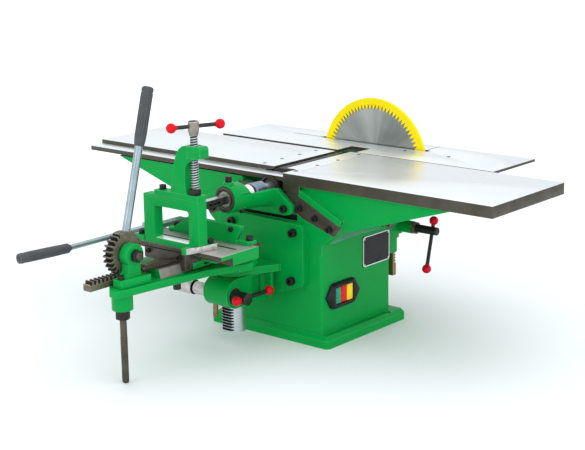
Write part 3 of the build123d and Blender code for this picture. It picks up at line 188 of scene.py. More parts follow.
@dataclass(frozen=True)
class Finish:
    """A surface: colour, gloss and marks, and edges lightened partly as wear, partly as painted
    highlight.

    The fine marks stand for grinding lines, drawing lines or the grain of a mould. Real ones are too
    fine to show in the picture, so their spacing is drawn as coarse as it needs to be to show.

    Args:
        name: name of the material.
        base: main colour.
        shade: colour of the patches.
        metallic: metal share.
        roughness: roughness of the smooth parts and of the dull parts.
        patch_mm: size of the colour patches.
        patch_share: how strongly the patches show.
        mark_mm: spacing of the fine marks.
        mark_depth_mm: height of the fine marks.
        lay: direction of the fine marks.
        coat: clear gloss on top.
        gloss: strength of the plain reflection, half being usual.
        edge: colour of the lighter edges, partly wear and partly painted highlight, or none.
        edge_mm: width of the lighter edges.
        edge_share: how strongly the lighter edges show.
        spin_mm: centre of a painted sheen in wedges round an axis along Y, or none.
    """

    name: str
    base: str
    shade: str
    metallic: float = 0.0
    roughness: Span = (0.35, 0.5)
    patch_mm: float = 60.0
    patch_share: float = 0.5
    mark_mm: float = 3.0
    mark_depth_mm: float = 0.05
    lay: Lay = Lay.EVEN
    coat: float = 0.0
    gloss: float = 0.5
    edge: str | None = None
    edge_mm: float = 1.5
    edge_share: float = 0.6
    spin_mm: Point | None = None

    def build(self) -> bpy.types.Material:
        """Make the material once and hand the same one out afterwards.

        Returns:
            The material.
        """
        known = bpy.data.materials.get(self.name)
        if known is not None:
            return known
        material = bpy.data.materials.new(self.name)
        material.use_nodes = True
        tree = material.node_tree
        shader = tree.nodes["Principled BSDF"].inputs
        shader["Metallic"].default_value = self.metallic
        shader["Specular IOR Level"].default_value = self.gloss
        shader["Coat Weight"].default_value = self.coat
        shader["Coat Roughness"].default_value = COAT_ROUGHNESS
        place = add_node(tree, "TexCoord", {}, {}, "Object")
        coarse = {"Scale": 1.0 / (self.patch_mm * MM)} | PATCH_GRAIN
        patches = add_node(tree, "TexNoise", coarse, {"Vector": place}, "Fac")
        band = PATCH_BAND | {"To Max": self.patch_share}
        spread = add_node(tree, "MapRange", band, {"Value": patches})
        tints = COLOUR_MIX | {MIX_UNDER: linear(self.base), MIX_OVER: linear(self.shade)}
        colour = add_node(tree, "Mix", tints, {MIX_SHARE: spread}, MIX_RESULT)
        run = add_node(tree, "Mapping", {"Scale": self.lay.value}, {"Vector": place})
        fine = {"Scale": 1.0 / (self.mark_mm * MM)} | MARK_GRAIN
        marks = add_node(tree, "TexNoise", fine, {"Vector": run}, "Fac")
        dull = add_node(tree, "Math", TIMES, {0: marks, 1: patches})
        band = DULL_BAND | {"To Min": self.roughness[0], "To Max": self.roughness[1]}
        tree.links.new(add_node(tree, "MapRange", band, {"Value": dull}), shader["Roughness"])
        relief = {"Strength": 1.0, "Distance": self.mark_depth_mm * MM}
        tree.links.new(add_node(tree, "Bump", relief, {"Height": marks}), shader["Normal"])
        if self.spin_mm is not None:
            colour = self.painted_radial_sheen(tree, colour, place)
        if self.edge is not None:
            colour = self.edges_worn_and_highlit(tree, colour, patches)
        tree.links.new(colour, shader["Base Color"])
        return material

    def painted_radial_sheen(self, tree: Tree, colour: Socket, place: Socket) -> Socket:
        """Paint a sheen: lighten and darken in wedges round the centre, in place of a disc's
        reflections.

        Args:
            tree: the material's node tree.
            colour: the colour so far.
            place: the coordinates.

        Returns:
            The colour with the sheen mixed in.
        """
        shift = {"operation": "SUBTRACT", 1: tuple(v * MM for v in self.spin_mm)}
        middle = add_node(tree, "VectorMath", shift, {0: place})
        upright = {"Rotation": (math.radians(90.0), 0.0, 0.0)}
        level = add_node(tree, "Mapping", upright, {"Vector": middle})
        turn = add_node(tree, "TexGradient", {"gradient_type": "RADIAL"}, {"Vector": level}, "Fac")
        spokes = add_node(tree, "TexNoise", SPOKES, {"W": turn}, "Fac")
        sheen = add_node(tree, "MapRange", PAINTED_SHEEN_BAND, {"Value": spokes})
        tint = COLOUR_MIX | {MIX_OVER: linear(PAINTED_SHEEN_COLOUR)}
        return add_node(tree, "Mix", tint, {MIX_SHARE: sheen, MIX_UNDER: colour}, MIX_RESULT)

    def edges_worn_and_highlit(self, tree: Tree, colour: Socket, patches: Socket) -> Socket:
        """Mix the edge colour in where the rounded normal leaves the flat one: wear and painted
        highlight.

        Args:
            tree: the material's node tree.
            colour: the colour so far.
            patches: the patch pattern, which breaks the wear up.

        Returns:
            The colour with the lighter edges mixed in.
        """
        soft = {"samples": EDGE_SAMPLES, "Radius": self.edge_mm * MM}
        rounded = add_node(tree, "Bevel", soft, {})
        normals = {0: rounded, 1: add_node(tree, "NewGeometry", {}, {}, "Normal")}
        along = add_node(tree, "VectorMath", {"operation": "DOT_PRODUCT"}, normals, "Value")
        band = EDGE_LIGHT_BAND | {"To Max": self.edge_share}
        edge_lightening = add_node(tree, "MapRange", band, {"Value": along})
        broken = add_node(tree, "MapRange", BREAK_BAND, {"Value": patches})
        share = add_node(tree, "Math", TIMES, {0: edge_lightening, 1: broken})
        tint = COLOUR_MIX | {MIX_OVER: linear(self.edge)}
        return add_node(tree, "Mix", tint, {MIX_SHARE: share, MIX_UNDER: colour}, MIX_RESULT)


def button_plastic(name: str, base: str, shade: str) -> Finish:
    """Moulded ABS of a push button: smooth, a little scuffed where fingers press.

    Args:
        name: name of the material.
        base: main colour.
        shade: colour of the patches.

    Returns:
        The finish.
    """
    return Finish(
        name, base, shade, roughness=(0.28, 0.4), patch_mm=8.0, mark_mm=0.8, mark_depth_mm=0.01,
        gloss=0.25,
    )


# Cast iron sprayed with machine enamel: glossy, with a faint orange peel, and with a lighter
# green painted along the edges as highlight
GREEN_ENAMEL = Finish(
    "green_machine_enamel", "#009942", "#008F3D", roughness=(0.28, 0.44), patch_mm=95.0,
    patch_share=0.5, mark_mm=4.0, mark_depth_mm=0.05, coat=0.03, gloss=0.1, edge="#5CC488",
    edge_mm=1.8, edge_share=0.7,
)
# The same enamel made light on the sloping roof of the body: a painted highlight
ROOF_PAINTED_HIGHLIGHT = Finish(
    "roof_enamel_painted_highlight", "#A6FBD2", "#7CEBB0", roughness=(0.4, 0.6), patch_mm=60.0,
    patch_share=0.7, mark_mm=3.0, mark_depth_mm=0.05, gloss=0.2,
)
# Ground cast iron, wiped with oil: almost white under the lamps, with grinding lines along the feed
GROUND_TOP = Finish(
    "ground_iron_table", "#F4F8FA", "#DFE4E6", metallic=0.75, roughness=(0.26, 0.38),
    patch_mm=160.0, patch_share=0.45, mark_mm=1.6, mark_depth_mm=0.006, lay=Lay.ALONG_X,
    edge="#F4F4F2", edge_mm=1.2,
)
# The milled side of a table: dark with oil film and a little rust
TABLE_EDGE = Finish(
    "milled_oily_edge", "#454132", "#312E25", metallic=0.25, roughness=(0.38, 0.6), patch_mm=45.0,
    patch_share=0.7, mark_mm=2.0, mark_depth_mm=0.04, lay=Lay.ALONG_X, edge="#B9B5A4", edge_mm=1.2,
)
# Small ground table plate, dulled by sawdust and hands to a pinkish grey
WORN_PLATE = Finish(
    "worn_ground_plate", "#CDC9C6", "#ABA5A0", metallic=0.6, roughness=(0.24, 0.42), patch_mm=26.0,
    patch_share=0.6, mark_mm=1.8, mark_depth_mm=0.015, lay=Lay.ALONG_X, edge="#DAD6D0", edge_mm=1.0,
)
# Drawn steel bar, polished by hands
BRIGHT_BAR = Finish(
    "drawn_bright_steel", "#CFD6DA", "#A9AFB5", metallic=0.9, roughness=(0.26, 0.42), patch_mm=30.0,
    patch_share=0.6, mark_mm=1.2, mark_depth_mm=0.01, lay=Lay.ALONG_Z, edge="#F0F0EE", edge_mm=0.6,
)
# Drawn steel of the two levers: bluish grey, dulled by hands
LEVER_STEEL = replace(
    BRIGHT_BAR, name="handled_lever_steel", base="#A4B3BB", shade="#7F8B93", edge="#E4E8EA"
)
# Milled steel with oil and rust in the corners
DARK_STEEL = Finish(
    "oiled_milled_steel", "#554F46", "#3A332A", metallic=0.55, roughness=(0.36, 0.58),
    patch_mm=22.0, patch_share=0.75, mark_mm=1.5, mark_depth_mm=0.03, edge="#B6AFA0", edge_mm=0.9,
)
# Cut gear teeth: browned iron, with straw colour on the corners, partly wear and partly
# painted highlight
GEAR_IRON = Finish(
    "browned_gear_iron", "#756E5E", "#544D3F", metallic=0.45, roughness=(0.36, 0.58), patch_mm=18.0,
    patch_share=0.7, mark_mm=1.5, mark_depth_mm=0.03, edge="#D3C49A", edge_mm=1.0, edge_share=0.8,
)
# Forged tool steel with its scale left on, its edges lightened partly as ground bare and partly
# as painted highlight
TOOL_SCALE = Finish(
    "forged_tool_scale", "#3B3936", "#26241F", metallic=0.6, roughness=(0.3, 0.5), patch_mm=12.0,
    patch_share=0.7, mark_mm=1.2, mark_depth_mm=0.03, edge="#C4C2BC", edge_mm=0.9,
)
# Slide way scraped bare
WAY_STEEL = Finish(
    "scraped_way_steel", "#9A938C", "#766E67", metallic=0.6, roughness=(0.3, 0.5), patch_mm=14.0,
    patch_share=0.6, mark_mm=2.5, mark_depth_mm=0.03, lay=Lay.ALONG_Y, edge="#C9C4BC", edge_mm=0.9,
)
# Zinc plating gone yellow with oil
TAN_ZINC = Finish(
    "yellowed_zinc", "#8F7F57", "#6B5C3C", metallic=0.6, roughness=(0.34, 0.52), patch_mm=9.0,
    patch_share=0.6, mark_mm=1.2, mark_depth_mm=0.02, edge="#B9AA84", edge_mm=0.7,
)
# Black oxide on fasteners
BLACK_OXIDE = Finish(
    "black_oxide_steel", "#2A2726", "#161414", metallic=0.5, roughness=(0.3, 0.5), patch_mm=8.0,
    patch_share=0.6, mark_mm=0.9, mark_depth_mm=0.02, edge="#7A736C", edge_mm=0.7,
)
# Near-black that takes the light away: painted shade in throats, gaps, recesses, a groove and
# thread roots; also the black between teeth and on the floors of pits
GREASE_AND_SHADE = Finish(
    "grease_and_painted_shade_black", "#191714", "#0E0D0B", roughness=(0.5, 0.75), patch_mm=5.0,
    patch_share=0.6, mark_mm=1.5, mark_depth_mm=0.08, gloss=0.3,
)
# Bare casting face, filed and spotted white
FILED_FACE = Finish(
    "filed_bare_iron", "#DAD9D3", "#8E8C84", metallic=0.6, roughness=(0.3, 0.55), patch_mm=9.0,
    patch_share=0.85, mark_mm=2.0, mark_depth_mm=0.06, edge="#EFEFEA", edge_mm=1.0,
)
# Pressed phenolic ball knobs, deep red and polished
RED_RESIN = Finish(
    "red_phenolic", "#D60A20", "#BC0719", roughness=(0.2, 0.3), patch_mm=9.0, patch_share=0.4,
    mark_mm=1.2, mark_depth_mm=0.008, coat=0.03, gloss=0.12,
)
# Soft vinyl grips, dip moulded, with a dull bloom and a painted highlight on the ribs
GRIP_VINYL = Finish(
    "grey_vinyl", "#42474A", "#34383B", roughness=(0.42, 0.6), patch_mm=18.0, patch_share=0.5,
    mark_mm=0.8, mark_depth_mm=0.03, edge="#75787B", edge_mm=0.8, edge_share=0.4,
)
# Moulded PVC strip over the saw teeth
YELLOW_STRIP = Finish(
    "yellow_pvc_strip", "#F2DC00", "#E6CC00", roughness=(0.36, 0.5), patch_mm=40.0, patch_share=0.4,
    mark_mm=1.5, mark_depth_mm=0.02, gloss=0.12,
)
# Ground saw plate with a little haze, and a sheen painted in wedges round its centre
SAW_PLATE = Finish(
    "ground_saw_plate", "#848883", "#6B6E69", metallic=0.85, roughness=(0.28, 0.44), patch_mm=55.0,
    patch_share=0.6, mark_mm=1.4, mark_depth_mm=0.012, lay=Lay.ALONG_Z, edge="#E2E3DF", edge_mm=0.6,
    spin_mm=(0.0, 243.0, 322.0),
)
# Moulded ABS switch frame: satin black, with grey painted along its edges as highlight
SWITCH_BLACK = Finish(
    "moulded_black_abs", "#1B1C1E", "#121314", roughness=(0.38, 0.52), patch_mm=12.0,
    patch_share=0.5, mark_mm=0.8, mark_depth_mm=0.02, gloss=0.25, edge="#3C3E41", edge_mm=0.8,
)
# Moulded ABS push buttons: smooth, a little scuffed where fingers press
BUTTON_GREEN = button_plastic("green_button_abs", "#129A72", "#0F8763")
BUTTON_RED = button_plastic("red_button_abs", "#E80C0C", "#D20A0A")
BUTTON_YELLOW = button_plastic("yellow_button_abs", "#FFE010", "#F2D00C")
# Anodised plate printed black, with its ink gone a little grey
PLATE_INK = Finish(
    "printed_plate_black", "#242526", "#1A1B1C", roughness=(0.42, 0.55), patch_mm=20.0, mark_mm=1.0,
    mark_depth_mm=0.01, gloss=0.25,
)
# The same aluminium left bare round the plate
PLATE_RIM = Finish(
    "plate_bare_aluminium", "#FAFAFA", "#E8E9E9", metallic=0.2, roughness=(0.28, 0.4),
    patch_mm=15.0, mark_mm=0.9, mark_depth_mm=0.01,
)
# Turned nylon ring: white and waxy
COLLAR_WHITE = Finish(
    "white_nylon", "#F2F2EE", "#DEDEDA", roughness=(0.35, 0.5), patch_mm=9.0, mark_mm=1.0,
    mark_depth_mm=0.02,
)
# Turned chuck body, polished, with the blue of a sky reflection painted into its colour
CHUCK_STEEL = Finish(
    "chuck_steel_painted_sky_blue", "#8C9AAE", "#5D6877", metallic=0.8, roughness=(0.22, 0.36), patch_mm=10.0,
    mark_mm=0.9, mark_depth_mm=0.01, lay=Lay.ALONG_X, edge="#D5DCE6", edge_mm=0.7,
)
# Sprayed motor shell, satin and slightly pebbled
MOTOR_GREY = Finish(
    "grey_motor_enamel", "#5F676B", "#4C5357", roughness=(0.3, 0.45), patch_mm=40.0, mark_mm=3.0,
    mark_depth_mm=0.05, edge="#8B9296", edge_mm=1.5,
)
# Fabric-wrapped rubber belt, dusty black
BELT_RUBBER = Finish(
    "wrapped_belt_rubber", "#1C1C1C", "#121212", roughness=(0.6, 0.8), patch_mm=10.0, mark_mm=0.9,
    mark_depth_mm=0.05,
)


def upward(height_mm: float) -> Mask:
    """Faces that look up and lie above a height."""
    return lambda centres, normals: (normals[:, Z] > LEVEL) & (centres[:, Z] > height_mm * MM)


def between(axis: int, low_mm: float, high_mm: float) -> Mask:
    """Faces whose centres lie between two places on one axis."""
    return lambda centres, _: (centres[:, axis] > low_mm * MM) & (centres[:, axis] < high_mm * MM)


def every(*masks: Mask) -> Mask:
    """Faces that all the masks agree on."""
    return lambda centres, normals: np.all([mask(centres, normals) for mask in masks], axis=0)


def facing(axis: int, sign: int) -> Mask:
    """Faces that look along one axis, or lean from it by less than 30 degrees."""
    return lambda _, normals: normals[:, axis] * sign > LEANING


def flanks(axis: int, floor_axis: int, floor_sign: int, floor_mm: float) -> Mask:
    """Tooth gaps of a rack: the flanks, and the floors beyond the line of the tips.

    Args:
        axis: the axis that the flanks look along.
        floor_axis: the axis that the floors look along.
        floor_sign: which way the floors look.
        floor_mm: floors lie below this place, seen the way that they look.

    Returns:
        The mask.
    """

    def pick(centres: Array, normals: Array) -> Array:
        """Deep faces that are flanks or floors.

        Args:
            centres: middles of the faces.
            normals: directions that they look.

        Returns:
            True for each face that is picked.
        """
        deep = centres[:, floor_axis] * floor_sign < floor_mm * MM * floor_sign
        floor = normals[:, floor_axis] * floor_sign > LEVEL
        return deep & ((np.abs(normals[:, axis]) > ACROSS) | floor)

    return pick


def round_gaps(centre_mm: Span, low_mm: float, high_mm: float) -> Mask:
    """Tooth gaps of a gear along X: rim faces between two distances from its axis.

    Args:
        centre_mm: where the axis crosses Y and Z.
        low_mm: the shorter distance.
        high_mm: the longer distance.

    Returns:
        The mask.
    """

    def pick(centres: Array, normals: Array) -> Array:
        """Rim faces that lie between the distances."""
        away = np.hypot(centres[:, Y] - centre_mm[0] * MM, centres[:, Z] - centre_mm[1] * MM)
        return (np.abs(normals[:, X]) < ACROSS) & (away > low_mm * MM) & (away < high_mm * MM)

    return pick


@dataclass(frozen=True)
class Coat:
    """One finish on the faces of a part that a mask picks."""

    finish: Finish
    where: Mask


@dataclass(frozen=True)
class Dressing:
    """The finishes of one CAD part and how far its edges are broken.

    Args:
        node: the part's name.
        main: finish of every face that no coat picks.
        coats: further finishes, later ones on top.
        rounding_mm: width of the broken edges, or nothing.
    """

    node: str
    main: Finish
    coats: tuple[Coat, ...] = ()
    rounding_mm: float = 0.0

    def apply(self, nodes: dict[str, bpy.types.Object]) -> None:
        """Give the part its finishes and break its edges.

        Args:
            nodes: every part of the frame by name.
        """
        part = nodes[self.node]
        mesh = part.data
        count = len(mesh.polygons)
        centres = np.empty(count * 3, np.float32)
        normals = np.empty(count * 3, np.float32)
        mesh.polygons.foreach_get("center", centres)
        mesh.polygons.foreach_get("normal", normals)
        index = np.zeros(count, np.int32)
        mesh.materials.clear()
        mesh.materials.append(self.main.build())
        for number, coat in enumerate(self.coats, start=1):
            mesh.materials.append(coat.finish.build())
            index[coat.where(centres.reshape(-1, 3), normals.reshape(-1, 3))] = number
        mesh.polygons.foreach_set("material_index", index)
        if self.rounding_mm > 0.0:
            self.break_edges(part)
        LOG.info("dressed %s with %d finishes", self.node, 1 + len(self.coats))

    def break_edges(self, part: bpy.types.Object) -> None:
        """Weld the loose triangles, join flat ones and bevel the sharp edges.

        Args:
            part: the part's object.
        """
        part.data.polygons.foreach_set("use_smooth", np.ones(len(part.data.polygons), bool))
        weld = part.modifiers.new("weld", "WELD")
        weld.merge_threshold = WELD_MM * MM
        flat = part.modifiers.new("flat", "DECIMATE")
        flat.decimate_type = "DISSOLVE"
        flat.angle_limit = math.radians(FLAT_DEG)
        flat.delimit = {"MATERIAL"}
        bevel = part.modifiers.new("broken_edges", "BEVEL")
        bevel.width = self.rounding_mm * MM
        bevel.segments = BEVEL_SEGMENTS
        bevel.limit_method = "ANGLE"
        bevel.angle_limit = math.radians(BEVEL_DEG)
        bevel.use_clamp_overlap = False
        bevel.harden_normals = True


@dataclass(frozen=True)
class Axis:
    """A line that shapes are turned about, from an origin and along a direction."""

    origin: Point
    direction: Point

    def square(self) -> tuple[Array, Array, Array]:
        """Square axes on the line.

        Returns:
            Two unit vectors across the line, and its direction at unit length.
        """
        along = np.asarray(self.direction, float)
        along = along / np.linalg.norm(along)
        helper = np.eye(3)[X if abs(along[X]) < NEAR_X else Y]
        across = np.cross(along, helper)
        across = across / np.linalg.norm(across)
        return across, np.cross(along, across), along

    def turned(
        self, profile: Profile, segments: int = RING_POINTS, ripple: Ripple | None = None
    ) -> Array:
        """Rings of a turned shape.

        Ring k has the points origin + s_k d + (r_k + ripple(s_k, t_j)) (u cos t_j + v sin t_j).

        Args:
            profile: rows of (s, r), place along the axis d and radius.
            segments: points on a ring.
            ripple: height added to the radius, from place and angle.

        Returns:
            An array of rings, points and three coordinates.
        """
        across, over, along = self.square()
        place, radius = np.hsplit(np.asarray(profile, float), 2)
        angle = np.linspace(0.0, TURN, segments, endpoint=False)[None, :]
        if ripple is not None:
            radius = radius + ripple(place, angle)
        circle = np.cos(angle)[..., None] * across + np.sin(angle)[..., None] * over
        radius = np.broadcast_to(radius, (len(place), segments))
        shift = place[..., None] * along + radius[..., None] * circle
        return np.asarray(self.origin, float) + shift


@dataclass(frozen=True)
class Piece:
    """A new surface that rides on one body of the machine.

    Args:
        name: the piece's name.
        body: the body that carries it.
        finish: its finish.
        slot: the record's material slot; not used here.
        nodes: CAD parts that it stands for.
    """

    name: str
    body: str
    finish: Finish
    slot: str
    nodes: tuple[str, ...] = ()

    def from_rings(
        self, rings: Array, sharp_deg: float = SHARP_DEG, closed_path: bool = False
    ) -> None:
        """Skin a stack of rings and close both ends with a fan.

        Args:
            rings: ring by point by coordinate, in millimetres.
            sharp_deg: edges bent by more than this stay sharp.
            closed_path: the last ring joins the first, and there are no ends.
        """
        count, around = rings.shape[:2]
        grid = np.arange(count * around).reshape(count, around)
        rows = np.concatenate([grid, grid[:1]]) if closed_path else grid
        side = np.roll(rows, -1, axis=1)
        quads = np.stack([rows[:-1], side[:-1], side[1:], rows[1:]], axis=-1).reshape(-1, 4)
        points = rings.reshape(-1, 3)
        faces: list[list[int]] = quads.tolist()
        if not closed_path:
            points = np.concatenate([points, rings[:1].mean(axis=1), rings[-1:].mean(axis=1)])
            first, last = np.full(around, len(points) - 2), np.full(around, len(points) - 1)
            faces += np.stack([first, side[0], rows[0]], axis=-1).tolist()
            faces += np.stack([last, rows[-1], side[-1]], axis=-1).tolist()
        if self.volume(points, quads) < 0.0:
            faces = [face[::-1] for face in faces]
        mesh = bpy.data.meshes.new(self.name)
        mesh.from_pydata((points * MM).tolist(), [], faces)
        mesh.polygons.foreach_set("use_smooth", np.ones(len(mesh.polygons), bool))
        mesh.set_sharp_from_angle(angle=math.radians(sharp_deg))
        mesh.materials.append(self.finish.build())
        mesh.update()
        made = put(self.name, mesh)
        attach(made, self.body)
        if self.nodes:
            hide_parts(*self.nodes)
        LOG.info("built %s with %d faces", self.name, len(mesh.polygons))

    @staticmethod
    def volume(points: Array, quads: Array) -> float:
        """Signed volume swept by the skin about its middle: a sixth of the sum of a . (b x c + c x d).

        Args:
            points: the corners.
            quads: four corners of each face.

        Returns:
            The volume, positive when the faces look out.
        """
        a, b, c, d = np.moveaxis(points[quads] - points.mean(axis=0), 1, 0)
        swept = np.einsum("ij,ij->i", a, np.cross(b, c) + np.cross(c, d))
        return float(swept.sum() / 6.0)


def plain_rod(low: float, high: float, radius: float, rows: int) -> Array:
    """Profile of a straight rod in even rows, fine enough to carry a ripple."""
    return np.stack([np.linspace(low, high, rows), np.full(rows, radius)], axis=1)


def chamfered(low: float, high: float, radius: float, chamfer: float) -> list[Span]:
    """Profile of a plain rod with both ends chamfered."""
    end = radius - chamfer
    return [(low, end), (low + chamfer, radius), (high - chamfer, radius), (high, end)]


def wall_ring(place: float, centre: Span, across: Array, rise: Array) -> Array:
    """Ring of points in a plane that looks along X, from offsets along Y and Z."""
    return np.stack([np.full_like(across, place), centre[0] + across, centre[1] + rise], axis=-1)


@dataclass(frozen=True)
class Thread:
    """A screw thread cut into a turned rod.

    Args:
        pitch: rise in one turn.
        depth: depth of the roots.
        start: the thread is cut beyond this place.
    """

    pitch: float
    depth: float
    start: float

    def ripple(self, place: Array, angle: Array) -> Array:
        """Triangular helix, deepest where place / pitch - angle / turn is half past a whole.

        Args:
            place: places along the rod.
            angle: angles round it.

        Returns:
            The height to add to the radius.
        """
        turn = place / self.pitch - angle / TURN
        ridge = np.abs(2.0 * (turn - np.floor(turn)) - 1.0)
        return np.where(place > self.start, -self.depth * (1.0 - ridge), 0.0)


@dataclass(frozen=True)
class TeeBar:
    """A loose bar through a hub with a ball knob on each end.

    Args:
        name: first part of the pieces' names.
        body: the body that carries it.
        node: the CAD part that it stands for.
        axis: the bar's line, from the middle of its hub.
        low: place of the lower ball.
        high: place of the upper ball.
        rod_radius: radius of the bar.
        rod_finish: finish of the bar.
        ball_radius: radius of the balls.
        chamfer: broken edge at the ends of the bar.
        ball_angles: where the ball's round starts and ends, seen from its middle.
        ball_rows: rows of points on a ball.
        neck: how far the ball's neck stands off the ball and off the bar.
    """

    name: str
    body: str
    node: str
    axis: Axis
    low: float
    high: float
    rod_radius: float
    rod_finish: Finish
    ball_radius: float = 10.0
    chamfer: float = 0.6
    ball_angles: Span = (0.46, math.pi - 0.02)
    ball_rows: int = 30
    neck: Span = (0.8, 0.9)

    def build(self) -> None:
        """Build the rod, then a ball knob at each end."""
        rod = Piece(f"{self.name}_rod", self.body, self.rod_finish, "bright_steel", (self.node,))
        profile = chamfered(self.low, self.high, self.rod_radius, self.chamfer)
        rod.from_rings(self.axis.turned(profile, segments=ROD_POINTS))
        for end, place, sense in (("low", self.low, -1.0), ("high", self.high, 1.0)):
            knob = Piece(f"{self.name}_ball_{end}", self.body, RED_RESIN, "button_red")
            knob.from_rings(self.axis.turned(self.ball_profile(place, sense)))

    def ball_profile(self, place: float, sense: float) -> Array:
        """Sphere with a short neck on its inner side: r = R sin a at s = place - sense R cos a.

        Args:
            place: where the ball's middle is.
            sense: plus or minus one, the way that the ball looks.

        Returns:
            Rows of place and radius.
        """
        angle = np.linspace(*self.ball_angles, self.ball_rows)
        along = place - sense * self.ball_radius * np.cos(angle)
        ball = np.stack([along, self.ball_radius * np.sin(angle)], axis=1)
        mouth = place - sense * (self.ball_radius + self.neck[0])
        return np.concatenate([[(mouth, self.rod_radius + self.neck[1])], ball])


@dataclass(frozen=True)
class HandGrip:
    """A fluted vinyl grip pushed over the end of a lever.

    Args:
        name: the piece's name.
        body: the body that carries it.
        axis: the lever's line.
        low: where the grip starts.
        high: where it ends.
        rod_radius: radius of the lever below it.
        radius: radius of the grip.
        flutes: number of ribs round the grip.
        flute_depth: how deep the gaps between the ribs are.
        lip: thickness of the mouth.
        mouth: share of the length in which the mouth opens out.
        swell: share of the radius that is gained along the grip.
        cap: length of the rounded cap, in radii.
        cap_drop: share of the radius that the cap falls by.
        groove: place of the ring groove and its half width, as shares of the length.
        groove_depth: depth of the ring groove.
        fade_in: shares of the length between which the flutes start.
        fade_out: shares of the length between which they end.
        rows: rows of points along the grip.
        flute_points: points on a ring for each flute.
    """

    name: str
    body: str
    axis: Axis
    low: float
    high: float
    rod_radius: float
    radius: float
    flutes: int = 14
    flute_depth: float = 1.6
    lip: float = 0.8
    mouth: float = 0.07
    swell: float = 0.08
    cap: float = 0.5
    cap_drop: float = 0.45
    groove: Span = (0.9, 0.012)
    groove_depth: float = 1.1
    fade_in: Span = (0.08, 0.16)
    fade_out: Span = (0.85, 0.88)
    rows: int = 90
    flute_points: int = 8

    def build(self) -> None:
        """Build the grip as one turned, fluted skin."""
        grip = Piece(self.name, self.body, GRIP_VINYL, "grip_rubber")
        around = self.flute_points * self.flutes
        grip.from_rings(self.axis.turned(self.profile(), around, self.ripple), GRIP_DEG)

    def profile(self) -> Array:
        """Mouth that opens as 1 - exp(-share), swell as a sine, Gaussian groove and round cap.

        Returns:
            Rows of place and radius.
        """
        share = np.linspace(0.0, 1.0, self.rows)
        along = self.low + share * (self.high - self.low)
        inner = self.rod_radius + self.lip
        opened = 1.0 - np.exp(-share / self.mouth)
        swollen = 1.0 - self.swell + self.swell * np.sin(0.5 * np.pi * share)
        radius = inner + (self.radius - inner) * opened * swollen
        left = np.clip((self.high - along) / (self.cap * self.radius), 0.0, 1.0)
        radius *= 1.0 - self.cap_drop + self.cap_drop * np.sqrt(1.0 - (1.0 - left) ** 2)
        radius -= self.groove_depth * np.exp(-(((share - self.groove[0]) / self.groove[1]) ** 2))
        return np.stack([along, radius], axis=1)

    def ripple(self, place: Array, angle: Array) -> Array:
        """Cosine flutes that fade out at the mouth and the cap.

        Args:
            place: places along the lever.
            angle: angles round it.

        Returns:
            The height to add to the radius.
        """
        share = (place - self.low) / (self.high - self.low)
        fade = np.interp(share, (*self.fade_in, *self.fade_out), (0.0, 1.0, 1.0, 0.0))
        return -0.5 * self.flute_depth * fade * (1.0 + np.cos(self.flutes * angle))


@dataclass(frozen=True)
class FeedLever:
    """The tall lever of the mortiser's rack feed."""

    pivot: Point = (-45.0, -508.0, 255.0)
    lean_deg: float = 15.1
    rod: Span = (20.0, 233.0)
    rod_radius: float = 8.0
    rod_chamfer: float = 0.8
    grip: Span = (209.0, 325.5)
    grip_radius: float = 12.0

    def build(self) -> None:
        """Build the bright rod and its grip."""
        lean = math.radians(self.lean_deg)
        axis = Axis(self.pivot, (0.0, math.sin(lean), math.cos(lean)))
        rod = Piece("feed_lever_rod", "feed_handle", LEVER_STEEL, "bright_steel", ("feed_lever",))
        rod.from_rings(axis.turned(chamfered(*self.rod, self.rod_radius, self.rod_chamfer)))
        HandGrip(
            "feed_lever_grip", "feed_handle", axis, *self.grip, self.rod_radius, self.grip_radius
        ).build()


@dataclass(frozen=True)
class CrossLever:
    """The grip of the cross-travel lever; its hub, tail and rod are CAD faces."""

    axis: Axis = Axis((-172.4, -537.0, 249.8), (-0.13, -1.0, 0.0))
    grip: Span = (-6.0, 112.0)
    rod_radius: float = 5.5
    grip_radius: float = 10.6

    def build(self) -> None:
        """Build the grip over the plain CAD end."""
        HandGrip(
            "cross_lever_grip", "cross_handle", self.axis, *self.grip, self.rod_radius,
            self.grip_radius, flutes=16,
        ).build()


